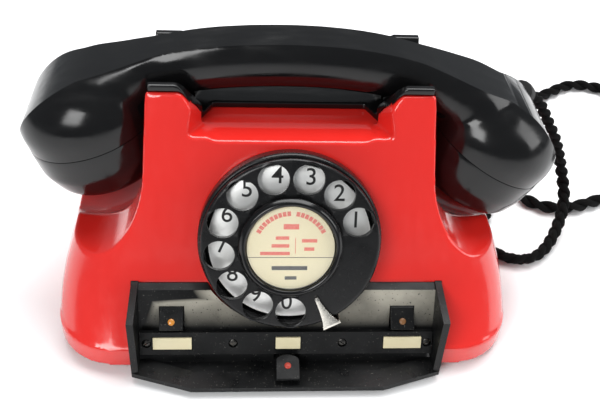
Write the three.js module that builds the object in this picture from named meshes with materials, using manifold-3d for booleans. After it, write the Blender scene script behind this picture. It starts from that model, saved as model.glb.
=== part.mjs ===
// Desk telephone with a cradle, a finger-wheel dial and a three-key tray.
// Millimetres. +Z up, -Y is the front, X = 0 is half-way between the ends of the handset.
import * as THREE from 'three';
import { mergeVertices } from 'three/addons/utils/BufferGeometryUtils.js';
import Module from 'manifold-3d';

const wasm = await Module();
wasm.setup();

// ---------------------------------------------------------------- driving dimensions
const GAP = 0.3; // clearance between pieces that touch
const WALL = 3; // thickness of the case moulding
const HANDSET_OFFSET = 3.4; // the handset sits this far to the right of the dial

// case: front face, plinth and skirt
const FACE_TOP_Y = -22; // front face at the top of the tower
const FACE_TOP_Z = 114.6;
const FACE_LEAN = THREE.MathUtils.degToRad(21.3); // face leans back from the vertical
const REAR_TOP_Y = 26;
const REAR_SLOPE = 0.45;
const PLINTH_HALF_WIDTH = 103.4;
const PLINTH_FRONT = -70.5;
const PLINTH_REAR = 85;
const PLINTH_TOP = 13;
const CASE_BOTTOM = 3;
const BASE_TOP = 5; // upper face of the base plate
const FLARE_TOP = 48; // above this height the faces are flat
const PLAN_CORNER = 28;

// scoops on each side of the tower, for the ends of the handset
const TOWER_HALF_WIDTH = 60;
const SCOOP_CENTRE_X = 90;
const SCOOP_CENTRE_Z = 85.5;
const SCOOP_RADIUS_X = 28;
const SCOOP_RADIUS_Z = 40;
const WAIST_CENTRE_X = 88.5;
const WAIST_RADIUS = 35;
const WAIST_CENTRE_Z = 70; // below this height the waist rounds in
const WAIST_DEPTH = 29;

// cradle
const AXIS_Y = 2; // the handset lies along X over this line
const HORN_TOP = 117.8;
const SADDLE_TOP = 98.7;
const MOULDING = 3; // thickness of the cradle moulding
const HORN_INNER_X = 47;
const SADDLE_X = 34;
const CHANNEL_HALF = 13; // half the width of the channel for the grip
const CHANNEL_LIP = 20; // the same at the horns' tops, where its sides lean outwards
const CHANNEL_BEND = 104; // the sides are upright below this height
const PLUNGER_X = 45;
const PLUNGER_RADIUS = 3.4;

// dial, in its own frame: origin on the face, Z out of the face
const DIAL_DOWN = 61.6; // dial centre, measured down the face from its top edge
const PLATE_RADIUS = 38;
const PLATE_TOP = 12.7;
const PLATE_THICKNESS = 2.4;
const HOLE_CIRCLE = 30.2;
const HOLE_RADIUS = 6.55;
const FIRST_HOLE = 21.1; // degrees, anticlockwise from +X
const HOLE_PITCH = 27.8;
const NUMBER_RING_TOP = 7.3;
const CARD_RING_RADIUS = 22;
const CARD_RADIUS = 18.4;
const STOP_ANGLE = -64;
const GEAR = { teeth: 40, root: 22.4, tip: 25, z0: -9, z1: -6.5 };
const PINION = { teeth: 10, root: 4.6, tip: 7.1, reach: 30.6, bearing: 126 };

// key tray
const TRAY_HALF = 68.3;
const TRAY_TOP_DOWN = 82.3; // top of its back panel, down the face
const TRAY_KNEE_Y = -76.5;
const TRAY_KNEE_Z = 36.5;
const TRAY_LIP_Y = -85;
const TRAY_LIP_HALF = 42;
const TRAY_BOTTOM = 2.5;
const PANEL_THICKNESS = 3;
const STRIP_TOP_DOWN = 104.6;
const STRIP_BOTTOM_DOWN = 115.4;
const STRIP_MIDDLE = (STRIP_TOP_DOWN + STRIP_BOTTOM_DOWN) / 2;
const STRIP_BACK = PANEL_THICKNESS + 2 * GAP; // heights above the face
const STRIP_FRONT = STRIP_BACK + 2.6;
const SCREWS = [-62, -24, 24.5, 62.6];
const LABELS = [['left', -50.7, 17], ['centre', 0.3, 11], ['right', 51.5, 17]];
const KEY_WIDTH = 10.4;
const KEY_X = 50.9;

// ringer
const GONG_LEFT_X = -52;
const GONG_RIGHT_X = 8;
const GONG_Y = 30;

// handset
const GRIP_HEIGHT = 23;
const SPINE_HALF = 9.5; // half the width of the spine that runs over both ends
const SPINE_HEIGHT = 37; // of the dome that the spine's ends are cut from
const EAR = { x: -86.5, z: 85.5, radius: 30.8, tilt: 16.5, dome: 30.2, depth: 24.6, rim: 25.6 };
const MOUTH = { x: 92.3, z: 76.7, radius: 31.7, tilt: -28.6, dome: 30.2, depth: 22.5, rim: 28 };
const LIFT_BUSH = { x: 112.5, y: 25, z: 88 };

// cords
const CORD = 7; // diameter of both cords
const FLOOR_LINE = CORD / 2 + 0.1;
const CORD_EXITS = [-70, 62];
const CORD_EXIT_Z = 11;

// ---------------------------------------------------------------- materials
function material(color, roughness, metalness = 0) {
  return new THREE.MeshStandardMaterial({ color, roughness, metalness });
}
const red = material(0xd8201c, 0.25);
const black = material(0x0d0d0f, 0.2);
const trayBlack = material(0x17181a, 0.45);
const rubber = material(0x1c1c1c, 0.85);
const nickel = material(0xc9c6be, 0.25, 1);
const silver = material(0xcfcfcc, 0.35, 0.7);
const cream = material(0xf3e6b5, 0.6);
const clear = material(0xf4f4f0, 0.05);
const steel = material(0x8f9296, 0.4, 0.9);
const brass = material(0xb48a3c, 0.3, 0.9);
const copper = material(0x8a3f1f, 0.5, 0.3);
const cotton = material(0x0b0b0b, 0.95);

// ---------------------------------------------------------------- solids
function solid(geometry) {
  const bare = geometry.index ? geometry.clone() : geometry;
  bare.deleteAttribute('normal');
  bare.deleteAttribute('uv');
  const merged = mergeVertices(bare, 1e-4);
  const triangles = new Uint32Array(merged.index.array);
  if (signedVolume(merged) < 0) {
    triangles.reverse();
  }
  const mesh = new wasm.Mesh({
    numProp: 3,
    vertProperties: new Float32Array(merged.attributes.position.array),
    triVerts: triangles,
  });
  return new wasm.Manifold(mesh);
}

// negative when the faces point inwards
function signedVolume(geometry) {
  const { position } = geometry.attributes;
  const corners = [new THREE.Vector3(), new THREE.Vector3(), new THREE.Vector3()];
  let sum = 0;
  for (let i = 0; i < geometry.index.count; i += 3) {
    corners.forEach((corner, k) => corner.fromBufferAttribute(position, geometry.index.getX(i + k)));
    sum += corners[0].dot(corners[1].clone().cross(corners[2])) / 6;
  }
  return sum;
}

function geometryOf(manifold) {
  const mesh = manifold.getMesh();
  const geometry = new THREE.BufferGeometry();
  geometry.setAttribute('position', new THREE.BufferAttribute(new Float32Array(mesh.vertProperties), 3));
  geometry.setIndex(new THREE.BufferAttribute(new Uint32Array(mesh.triVerts), 1));
  return geometry;
}

function box(x0, x1, y0, y1, z0, z1) {
  const geometry = new THREE.BoxGeometry(x1 - x0, y1 - y0, z1 - z0);
  geometry.translate((x0 + x1) / 2, (y0 + y1) / 2, (z0 + z1) / 2);
  return solid(geometry);
}

function shapeOf(points) {
  return new THREE.Shape(points.map(([a, b]) => new THREE.Vector2(a, b)));
}

function extrude(shape, depth, curveSegments = 12) {
  return new THREE.ExtrudeGeometry(shape, { depth, bevelEnabled: false, curveSegments });
}

// prisms: an outline in one plane, run along the third axis
function prismZ(shape, z0, z1, curveSegments) {
  const geometry = extrude(shape, z1 - z0, curveSegments);
  geometry.translate(0, 0, z0);
  return solid(geometry);
}

function prismY(shape, y0, y1, curveSegments) {
  const geometry = extrude(shape, y1 - y0, curveSegments);
  geometry.rotateX(Math.PI / 2);
  geometry.translate(0, y1, 0);
  return solid(geometry);
}

function prismX(shape, x0, x1, curveSegments) {
  const geometry = extrude(shape, x1 - x0, curveSegments);
  geometry.rotateY(Math.PI / 2);
  geometry.rotateX(Math.PI / 2);
  geometry.translate(x0, 0, 0);
  return solid(geometry);
}

// a turned solid: profile points are (radius, height), about the Z axis
function latheGeometry(points, segments = 32) {
  const geometry = new THREE.LatheGeometry(points.map(([r, h]) => new THREE.Vector2(r, h)), segments);
  geometry.rotateX(Math.PI / 2);
  return geometry;
}

function turned(points, segments) {
  return solid(latheGeometry(points, segments));
}

function disc(radius, z0, z1, segments) {
  return turned([[0, z0], [radius, z0], [radius, z1], [0, z1]], segments);
}

function ring(inner, outer, z0, z1, segments) {
  return turned([[inner, z0], [outer, z0], [outer, z1], [inner, z1], [inner, z0]], segments);
}

function rod(from, to, radius, segments = 12) {
  const direction = new THREE.Vector3(...to).sub(new THREE.Vector3(...from));
  const geometry = new THREE.CylinderGeometry(radius, radius, direction.length(), segments);
  geometry.translate(0, direction.length() / 2, 0);
  const turn = new THREE.Quaternion().setFromUnitVectors(
    new THREE.Vector3(0, 1, 0),
    direction.clone().normalize(),
  );
  geometry.applyQuaternion(turn);
  geometry.translate(...from);
  return solid(geometry);
}

// a skin over rings of equally many points, closed by a fan at each end
function loft(rings) {
  const count = rings[0].length;
  const points = rings.flat();
  const first = new THREE.Vector3();
  rings[0].forEach((point) => first.addScaledVector(point, 1 / count));
  const last = new THREE.Vector3();
  rings.at(-1).forEach((point) => last.addScaledVector(point, 1 / count));
  points.push(first, last);
  const index = [];
  for (let ringNumber = 0; ringNumber < rings.length - 1; ringNumber += 1) {
    for (let i = 0; i < count; i += 1) {
      const a = ringNumber * count + i;
      const b = ringNumber * count + ((i + 1) % count);
      index.push(a, b, b + count, a, b + count, a + count);
    }
  }
  const top = (rings.length - 1) * count;
  for (let i = 0; i < count; i += 1) {
    const next = (i + 1) % count;
    index.push(points.length - 2, next, i);
    index.push(points.length - 1, top + i, top + next);
  }
  const geometry = new THREE.BufferGeometry().setFromPoints(points);
  geometry.setIndex(index);
  return solid(geometry);
}

function mirrorX(manifold) {
  return manifold.mirror([1, 0, 0]);
}

function bothSides(manifold) {
  return manifold.add(mirrorX(manifold));
}

// ---------------------------------------------------------------- the phone's frames
const phone = new THREE.Group();
phone.position.x = -HANDSET_OFFSET;
const faceFrame = new THREE.Group(); // origin in the middle of the face's top edge
faceFrame.position.set(0, FACE_TOP_Y, FACE_TOP_Z);
faceFrame.rotation.x = Math.PI / 2 - FACE_LEAN;
const dialFrame = new THREE.Group();
dialFrame.position.y = -DIAL_DOWN;
faceFrame.add(dialFrame);
phone.add(faceFrame);
phone.updateMatrixWorld(true);

function add(name, manifold, look, parent = phone) {
  const mesh = new THREE.Mesh(geometryOf(manifold), look);
  mesh.name = name;
  parent.add(mesh);
  return mesh;
}

// a solid drawn in the face's or dial's frame, moved into the phone's frame
function inPhone(manifold, frame) {
  const toPhone = phone.matrixWorld.clone().invert().multiply(frame.matrixWorld);
  return manifold.transform(toPhone.elements);
}

function faceY(z) {
  return FACE_TOP_Y - (FACE_TOP_Z - z) * Math.tan(FACE_LEAN);
}

// ---------------------------------------------------------------- case
function skirtFlare(z) {
  return ((FLARE_TOP - z) / (FLARE_TOP - PLINTH_TOP)) ** 2;
}

// half width, front and rear of the case at one height
function caseSection(z) {
  if (z <= PLINTH_TOP) {
    return { half: PLINTH_HALF_WIDTH, front: PLINTH_FRONT, rear: PLINTH_REAR, corner: PLAN_CORNER };
  }
  const flare = z < FLARE_TOP ? skirtFlare(z) : 0;
  const rearFlat = REAR_TOP_Y + (FACE_TOP_Z - z) * REAR_SLOPE;
  const rearFlare = PLINTH_REAR - 0.6 - (REAR_TOP_Y + (FACE_TOP_Z - PLINTH_TOP) * REAR_SLOPE);
  const frontFlare = faceY(PLINTH_TOP) - (PLINTH_FRONT + 0.6);
  const half = z < FLARE_TOP
    ? 94.4 + 8.4 * Math.sin(((FLARE_TOP - z) / (FLARE_TOP - PLINTH_TOP)) * Math.PI / 2)
    : 94.4 - (z - FLARE_TOP) * 0.25;
  return {
    half,
    front: faceY(z) - frontFlare * flare,
    rear: rearFlat + rearFlare * flare,
    corner: z < FLARE_TOP ? PLAN_CORNER - 4 * (z - PLINTH_TOP) / (FLARE_TOP - PLINTH_TOP) : 24,
  };
}

function roundedRectangle(section, inset, z, steps = 6) {
  const half = section.half - inset;
  const front = section.front + inset;
  const rear = section.rear - inset;
  const radius = Math.max(section.corner - inset, 4);
  const points = [];
  const corners = [[half - radius, rear - radius], [radius - half, rear - radius],
    [radius - half, front + radius], [half - radius, front + radius]];
  corners.forEach(([x, y], quarter) => {
    for (let step = 0; step <= steps; step += 1) {
      const angle = (quarter + step / steps) * Math.PI / 2;
      points.push(new THREE.Vector3(x + radius * Math.cos(angle), y + radius * Math.sin(angle), z));
    }
  });
  return points;
}

// outline of a scoop, seen from the front, for the right-hand side
function scoopShape(grow) {
  const shape = new THREE.Shape();
  const innerTop = TOWER_HALF_WIDTH - grow;
  const innerLow = SCOOP_CENTRE_X - SCOOP_RADIUS_X - grow;
  shape.moveTo(innerTop, 130);
  shape.lineTo(innerTop, FACE_TOP_Z);
  shape.lineTo(innerLow, SCOOP_CENTRE_Z);
  shape.absellipse(SCOOP_CENTRE_X, SCOOP_CENTRE_Z, SCOOP_RADIUS_X + grow, SCOOP_RADIUS_Z + grow,
    Math.PI, 1.5 * Math.PI, false, 0);
  shape.lineTo(130, SCOOP_CENTRE_Z - SCOOP_RADIUS_Z - grow);
  shape.lineTo(130, 130);
  return shape;
}

// round hollow in the tower's side that clears the handset's cap
function waistCutter(grow, segments = 24) {
  const radius = WAIST_RADIUS + grow;
  const profile = [];
  for (let step = 0; step <= 6; step += 1) {
    const angle = (step / 6) * Math.PI / 2;
    profile.push([radius * Math.sin(angle), WAIST_CENTRE_Z - (WAIST_DEPTH + grow) * Math.cos(angle)]);
  }
  profile.push([radius, 130], [0, 130]);
  return turned(profile, segments).translate([WAIST_CENTRE_X, AXIS_Y, 0]);
}

// height of the saddle between the horns; shift moves it down to the moulding's underside
function saddleShape(shift, base) {
  const top = HORN_TOP - shift;
  const low = SADDLE_TOP + 0.8 - shift;
  const inner = HORN_INNER_X - shift / 3;
  const foot = SADDLE_X - shift / 3;
  const shape = new THREE.Shape();
  shape.moveTo(-130, base);
  shape.lineTo(130, base);
  shape.lineTo(130, top);
  shape.lineTo(inner + 1, top);
  shape.bezierCurveTo(inner - 4, top, foot + 6, low, foot - 2, low);
  shape.lineTo(2 - foot, low);
  shape.bezierCurveTo(-foot - 6, low, 4 - inner, top, -inner - 1, top);
  shape.lineTo(-130, top);
  return shape;
}

// section of the channel across Y, with its sides and floor moved outwards by grow
function channelShape(grow) {
  const lean = (CHANNEL_LIP - CHANNEL_HALF) / (HORN_TOP - CHANNEL_BEND);
  const slant = Math.sqrt(1 + lean * lean);
  const top = 130;
  const half = CHANNEL_HALF + grow;
  const bend = CHANNEL_BEND - (grow * (slant - 1)) / lean;
  const wide = half + (top - bend) * lean;
  return shapeOf([[AXIS_Y - half, SADDLE_TOP - grow], [AXIS_Y + half, SADDLE_TOP - grow],
    [AXIS_Y + half, bend], [AXIS_Y + wide, top], [AXIS_Y - wide, top], [AXIS_Y - half, bend]]);
}

function channelCutter(grow) {
  return prismX(channelShape(grow), -80, 80);
}

// the open-fronted trough in front of the saddle
function troughCutter(grow) {
  const front = -40;
  const back = -3.5 + grow;
  const plan = shapeOf([[-48 - grow, front], [48 + grow, front], [33 + grow, back], [-33 - grow, back]]);
  const floor = SADDLE_TOP - MOULDING - GAP - 0.05 - grow;
  const side = shapeOf([[front, floor + 4.4], [-14.3, floor], [grow, floor], [grow, 130], [front, 130]]);
  return prismZ(plan, 80, 130).intersect(prismX(side, -60, 60));
}

function caseBody(inset) {
  const heights = [CASE_BOTTOM, PLINTH_TOP, PLINTH_TOP + 0.01, 15.5, 18, 21, 25, 30, 36, 42,
    FLARE_TOP, 80, 118];
  if (inset > 0) {
    heights[0] = CASE_BOTTOM - 1;
  }
  let body = loft(heights.map((z) => roundedRectangle(caseSection(z), inset, z)));
  body = body.subtract(bothSides(prismY(scoopShape(inset), -120, 120, 7)));
  body = body.subtract(bothSides(waistCutter(inset)));
  body = body.intersect(prismY(saddleShape(MOULDING + GAP + inset, -5), -120, 120, 8));
  return body.subtract(channelCutter(MOULDING + GAP + inset)).subtract(troughCutter(inset));
}

function trayPocket() {
  const side = shapeOf([
    [faceY(50), 50], [-110, 50], [-110, 0], [faceY(0), 0],
  ]);
  const topEdge = FACE_TOP_Z - (TRAY_TOP_DOWN - GAP) * Math.cos(FACE_LEAN);
  const half = TRAY_HALF + GAP;
  return prismX(side, -half, half).intersect(box(-half, half, -110, 0, -1, topEdge));
}

function keyWindows(grow) {
  const x0 = 45.4 - grow;
  const x1 = 56.4 + grow;
  const window = box(x0, x1, -104.2 - grow, -93.2 + grow, -8, 8);
  return inPhone(bothSides(window), faceFrame);
}

function makeCase() {
  let shell = caseBody(0).subtract(caseBody(WALL));
  const dialHole = inPhone(disc(35.2, -12, 6, 40), dialFrame);
  const flangeSeat = inPhone(disc(39.6, 0, 12, 48), dialFrame);
  shell = shell
    .subtract(dialHole)
    .subtract(flangeSeat)
    .subtract(trayPocket())
    .subtract(keyWindows(1.5));
  [-PLUNGER_X, PLUNGER_X].forEach((x) => {
    shell = shell.subtract(rod([x, AXIS_Y, 85], [x, AXIS_Y, 100], PLUNGER_RADIUS + 1, 16));
  });
  CORD_EXITS.forEach((x) => {
    shell = shell.subtract(rod([x, 70, CORD_EXIT_Z], [x, 95, CORD_EXIT_Z], 5.5, 16));
  });
  add('case_shell', shell, red);
}

// ---------------------------------------------------------------- base
function makeBase() {
  const section = caseSection(CASE_BOTTOM);
  const outline = [section, section].map((each, i) => (
    roundedRectangle(each, WALL + GAP, CASE_BOTTOM + 0.4 + i * (BASE_TOP - CASE_BOTTOM - 0.4))
  ));
  const trayClear = box(-TRAY_HALF - 1, TRAY_HALF + 1, -100, -58, 0, 20);
  add('base_plate', loft(outline).subtract(trayClear), steel);
  const corners = {
    front_left: [-78, -46],
    front_right: [78, -46],
    rear_left: [-78, 60],
    rear_right: [78, 60],
  };
  const footTop = CASE_BOTTOM + 0.1;
  Object.entries(corners).forEach(([place, [x, y]]) => {
    const foot = turned([[0, 0], [7, 0], [8, 1], [8, footTop], [0, footTop]], 20);
    add(`foot_${place}`, foot.translate([x, y, 0]), rubber);
  });
}

// ---------------------------------------------------------------- cradle and hook switch
function makeCradle() {
  const within = box(1 - TOWER_HALF_WIDTH, TOWER_HALF_WIDTH - 1, -60, 60, 80, HORN_TOP);
  const liner = channelCutter(MOULDING).intersect(within);
  const ears = prismY(saddleShape(0, -5), FACE_TOP_Y + 0.7, REAR_TOP_Y - 0.7)
    .subtract(prismY(saddleShape(MOULDING, -10), -60, 60))
    .intersect(within);
  let cradle = liner.intersect(prismY(saddleShape(0, -5), -60, 60)).add(ears).subtract(channelCutter(0));
  const plan = shapeOf([[-62, 30], [62, 30], [62, -30], [46.5, -30], [33 + GAP, -3.2], [-33 - GAP, -3.2],
    [-46.5, -30], [-62, -30]]);
  cradle = cradle.intersect(prismZ(plan, 80, 130)).subtract(bothSides(waistCutter(-0.2)));
  [-PLUNGER_X, PLUNGER_X].forEach((x) => {
    cradle = cradle.subtract(rod([x, AXIS_Y, 85], [x, AXIS_Y, 110], PLUNGER_RADIUS + 0.5, 16));
  });
  add('cradle', cradle, black);
}

function makeHookSwitch() {
  const bottom = 62;
  [['left', -PLUNGER_X], ['right', PLUNGER_X]].forEach(([side, x]) => {
    const pin = turned([[0, bottom], [PLUNGER_RADIUS, bottom], [PLUNGER_RADIUS, SADDLE_TOP - 0.8],
      [PLUNGER_RADIUS - 1, SADDLE_TOP + 0.1], [0, SADDLE_TOP + 0.1]], 16);
    add(`hook_plunger_${side}`, pin.translate([x, AXIS_Y, 0]), black);
  });
  let switchBlock = box(-30, 30, -4, 8, 50, 60);
  for (let x = -24; x <= 24; x += 8) {
    switchBlock = switchBlock.add(box(x - 2, x + 2, -2, 6, 59, 68));
  }
  switchBlock = switchBlock.add(box(36, 40, -4, 0, BASE_TOP + GAP, 56)).add(box(29, 40, -4, 0, 52, 56));
  add('hook_switch', switchBlock, steel);
}

// ---------------------------------------------------------------- dial
function toothedWheel(teeth, root, tip, z0, z1) {
  let wheel = disc(root, z0, z1, teeth);
  const pitch = 360 / teeth;
  for (let tooth = 0; tooth < teeth; tooth += 1) {
    const width = (0.4 * Math.PI * (root + tip)) / teeth;
    const shape = shapeOf([
      [root - 1, -width / 2], [tip, -width / 4], [tip, width / 4], [root - 1, width / 2],
    ]);
    wheel = wheel.add(prismZ(shape, z0, z1).rotate([0, 0, tooth * pitch]));
  }
  return wheel;
}

function makeDial() {
  const dialCase = turned([[5, 1.5], [34.6, 1.5], [34.6, 0.4], [39.2, 0.4], [39.2, 7.2], [38.4, 8.2],
    [36.2, 8.2], [36.2, 4.2], [5, 4.2], [5, 1.5]], 44);
  const posts = [60, 180, 300].map((angle) => rod([30, 0, -12], [30, 0, 2], 2.2, 10).rotate([0, 0, angle]));
  const bearing = THREE.MathUtils.degToRad(PINION.bearing);
  const pinionX = PINION.reach * Math.cos(bearing);
  const pinionY = PINION.reach * Math.sin(bearing);
  const pinionHole = disc(2.5, -15, -10, 12).translate([pinionX, pinionY, 0]);
  const backPlate = ring(5, 32.5, -13.6, -11.8, 40).subtract(pinionHole);
  let frame = dialCase;
  posts.forEach((post) => {
    frame = frame.add(post);
  });
  add('dial_case', frame.add(backPlate), black, dialFrame);
  add('number_ring', ring(21, 34.6, 4.2 + GAP, NUMBER_RING_TOP, 40), silver, dialFrame);

  let plate = disc(PLATE_RADIUS, PLATE_TOP - PLATE_THICKNESS, PLATE_TOP, 56);
  for (let digit = 0; digit < 10; digit += 1) {
    const angle = THREE.MathUtils.degToRad(FIRST_HOLE + digit * HOLE_PITCH);
    const hole = disc(HOLE_RADIUS, 0, 20, 16);
    plate = plate.subtract(hole.translate([HOLE_CIRCLE * Math.cos(angle), HOLE_CIRCLE * Math.sin(angle), 0]));
  }
  add('finger_wheel', plate, black, dialFrame);
  add('card_ring', ring(CARD_RADIUS + 0.4, CARD_RING_RADIUS, PLATE_TOP + GAP, 16.4, 32), black, dialFrame);
  add('dial_card', disc(CARD_RADIUS, PLATE_TOP + GAP, 14.2, 28), cream, dialFrame);
  add('card_cover', disc(CARD_RADIUS, 14.6, 15.4, 28), clear, dialFrame);

  const plateUnderside = PLATE_TOP - PLATE_THICKNESS;
  const shaft = turned([[0, -16], [4.2, -16], [4.2, plateUnderside - 2.4], [9, plateUnderside - 2.4],
    [9, plateUnderside - GAP], [0, plateUnderside - GAP]], 24);
  add('dial_shaft', shaft, brass, dialFrame);
  const gear = toothedWheel(GEAR.teeth, GEAR.root, GEAR.tip, GEAR.z0, GEAR.z1)
    .subtract(disc(4.5, -20, 20, 24));
  add('dial_gear', gear, brass, dialFrame);
  const gapTowardsGear = PINION.bearing + 180 + 180 / PINION.teeth;
  const pinion = toothedWheel(PINION.teeth, PINION.root, PINION.tip, GEAR.z0 - 0.5, GEAR.z1 + 0.5)
    .rotate([0, 0, gapTowardsGear])
    .add(disc(2, -18, GEAR.z1 + 3, 16))
    .add(disc(9, -20, -17, 24));
  const governor = add('governor', pinion, brass, dialFrame);
  governor.position.set(pinionX, pinionY, 0);

  const arm = shapeOf([[25.6, -0.6], [33, -1.2], [40.8, -3.2], [40.8, 5.2], [34, 2], [25.6, 0.9]]);
  const stop = prismZ(arm, PLATE_TOP + 0.4, PLATE_TOP + 1.5)
    .add(box(39.6, 40.8, -3, 5, 0.5, PLATE_TOP + 1))
    .rotate([0, 0, STOP_ANGLE]);
  add('finger_stop', stop, nickel, dialFrame);
}

// ---------------------------------------------------------------- key tray
// plan of the tray's floor; the sunk part keeps a flat margin inside the front edge
function floorPlan(margin) {
  const side = TRAY_HALF - (margin > 0 ? PANEL_THICKNESS : 0);
  const lip = TRAY_LIP_HALF - margin * 0.14;
  return shapeOf([[-side, -58], [-side, TRAY_KNEE_Y + margin], [-lip, TRAY_LIP_Y + margin],
    [lip, TRAY_LIP_Y + margin], [side, TRAY_KNEE_Y + margin], [side, -58]]);
}

function makeTray() {
  const top = FACE_TOP_Z - TRAY_TOP_DOWN * Math.cos(FACE_LEAN);
  const front = faceY(top) - GAP;
  const floorTop = 5;
  const lean = Math.tan(FACE_LEAN);
  const backAt = (z) => faceY(z) - GAP;
  const panelAt = (z) => backAt(z) - PANEL_THICKNESS / Math.cos(FACE_LEAN);
  const wall = prismX(shapeOf([
    [front, top], [TRAY_KNEE_Y, TRAY_KNEE_Z], [TRAY_KNEE_Y, TRAY_BOTTOM], [backAt(TRAY_BOTTOM), TRAY_BOTTOM],
  ]), TRAY_HALF - PANEL_THICKNESS, TRAY_HALF);
  const panelTop = top - 1.6 * lean;
  const panel = prismX(shapeOf([
    [backAt(panelTop), panelTop], [panelAt(panelTop - 1.2), panelTop - 1.2],
    [panelAt(TRAY_BOTTOM), TRAY_BOTTOM], [backAt(TRAY_BOTTOM), TRAY_BOTTOM],
  ]), -TRAY_HALF, TRAY_HALF);
  const floor = prismZ(floorPlan(0), TRAY_BOTTOM, floorTop)
    .subtract(prismZ(floorPlan(9.3), floorTop - 1.4, 10))
    .subtract(prismX(shapeOf([[backAt(-1), -1], [backAt(10), 10], [-40, 10], [-40, -1]]), -80, 80));
  let tray = panel.add(floor).add(bothSides(wall));
  tray = tray.subtract(inPhone(disc(41.4, -5, 9, 48), dialFrame));
  tray = tray.subtract(keyWindows(0));
  tray = tray.subtract(box(-KEY_WIDTH / 2 - 0.6, KEY_WIDTH / 2 + 0.6, -72, -55, 4.4, 9.4));
  SCREWS.forEach((x) => {
    const hole = disc(1.45, -1, 7, 10).translate([x, -STRIP_MIDDLE, 0]);
    tray = tray.subtract(inPhone(hole, faceFrame));
  });
  add('key_tray', tray, trayBlack);
  makeLabelStrip();
}

function makeLabelStrip() {
  const half = TRAY_HALF - PANEL_THICKNESS - GAP;
  let strip = box(-half, half, -STRIP_BOTTOM_DOWN, -STRIP_TOP_DOWN, STRIP_BACK, STRIP_FRONT);
  SCREWS.forEach((x, number) => {
    strip = strip.subtract(disc(1.45, 0, 9, 10).translate([x, -STRIP_MIDDLE, 0]));
    strip = strip.subtract(disc(2.1, STRIP_FRONT - 1.6, 9, 14).translate([x, -STRIP_MIDDLE, 0]));
    const screw = turned([[0, 0.8], [1.1, 0.8], [1.1, STRIP_FRONT - 1.3], [1.8, STRIP_FRONT - 1.3],
      [1.8, STRIP_FRONT - 0.2], [0, STRIP_FRONT - 0.2]], 12);
    const slotted = screw.subtract(box(-3, 3, -0.35, 0.35, STRIP_FRONT - 0.8, 9));
    const mesh = add(`tray_screw_${number + 1}`, slotted, steel, faceFrame);
    mesh.position.set(x, -STRIP_MIDDLE, 0);
  });
  LABELS.forEach(([side, x, width]) => {
    const pocket = box(x - width / 2 - 0.4, x + width / 2 + 0.4, -STRIP_MIDDLE - 3.2, -STRIP_MIDDLE + 3.2,
      STRIP_FRONT - 1.4, 9);
    strip = strip.subtract(pocket);
    const label = box(x - width / 2, x + width / 2, -STRIP_MIDDLE - 2.8, -STRIP_MIDDLE + 2.8,
      STRIP_FRONT - 1.1, STRIP_FRONT + 0.2);
    add(`label_${side}`, label, cream, faceFrame);
  });
  add('label_strip', strip, trayBlack, faceFrame);
}

// a side key is a tilted plate with a pivot bar along its top edge
function sideKey(length, tilt) {
  const half = KEY_WIDTH / 2;
  const plate = box(-half, half, -length, 0.8, -1, 1.2);
  const pivot = rod([-half, 0, 0], [half, 0, 0], 1.6, 12);
  return plate.add(pivot).rotate([tilt, 0, 0]);
}

function makeKeys() {
  [['left', -KEY_X], ['right', KEY_X]].forEach(([side, x]) => {
    const key = add(`key_${side}`, sideKey(9.6, -32), black, faceFrame);
    key.position.set(x, -94.9, 2.4);
  });
  const paddle = new THREE.Shape();
  const half = KEY_WIDTH / 2;
  paddle.moveTo(-half, -12);
  paddle.lineTo(half, -12);
  paddle.lineTo(half, -3);
  paddle.absellipse(0, -3, half, 3, 0, Math.PI, false, 0);
  const centreKey = prismZ(paddle, -1.1, 1.1, 8).rotate([16, 0, 0]).translate([0, -71.3, 10.6])
    .add(box(-half + 2, half - 2, -76, -60, 5.6, 8.2))
    .add(box(-half + 2, half - 2, -77, -72.6, 5.6, 9.2));
  add('key_centre', centreKey, black);
  let springs = box(-60, 60, -46, -42, BASE_TOP + GAP, 16);
  [-KEY_X, 0, KEY_X].forEach((x) => {
    springs = springs.add(box(x - 5, x + 5, -46, -38, 12, 20));
  });
  add('key_springset', springs, steel);
}

// ---------------------------------------------------------------- bell, capacitor, coil
function makeRinger() {
  const gong = () => turned([
    [0, 34], [19, 34], [24, 30], [25.5, 20], [23.7, 20], [22, 29], [18, 32], [0, 32],
  ], 20);
  add('gong_left', gong().translate([GONG_LEFT_X, GONG_Y, 0]), brass);
  add('gong_right', gong().translate([GONG_RIGHT_X, GONG_Y, 0]), brass);
  add('gong_post_left', disc(4, BASE_TOP + GAP, 32 - GAP, 12).translate([GONG_LEFT_X, GONG_Y, 0]), steel);
  add('gong_post_right', disc(4, BASE_TOP + GAP, 32 - GAP, 12).translate([GONG_RIGHT_X, GONG_Y, 0]), steel);
  let magnets = box(-40, -4, -24, -6, BASE_TOP + GAP, 10);
  [-32, -12].forEach((x) => {
    magnets = magnets.add(rod([x, -15, 9], [x, -15, 30], 7, 14));
  });
  magnets = magnets.add(box(-38, -6, -19, -11, 29, 33));
  add('ringer_coils', magnets, copper);
  const hammer = rod([-22, -5, 36], [-22, 28, 36], 1.4, 8)
    .add(rod([-22, 28, 36.5], [-22, 28, 24], 2.6, 10))
    .add(box(-30, -14, -6, -3.6, 20, 38));
  add('clapper', hammer, steel);
}

function makeInsides() {
  add('capacitor', box(46, 88, 26, 52, BASE_TOP + GAP, 34), steel);
  const core = rod([48, -10, 20], [88, -10, 20], 11, 20)
    .add(box(46, 49, -23, 3, BASE_TOP + GAP, 32))
    .add(box(87, 90, -23, 3, BASE_TOP + GAP, 32));
  add('induction_coil', core, copper);
  let strip = box(-90, -50, 62, 72, BASE_TOP + GAP, 12);
  for (let x = -86; x <= -54; x += 8) {
    strip = strip.add(disc(2, 11, 15, 10).translate([x, 67, 0]));
  }
  add('terminal_strip', strip.translate([62, 0, 0]), trayBlack);
}

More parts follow.
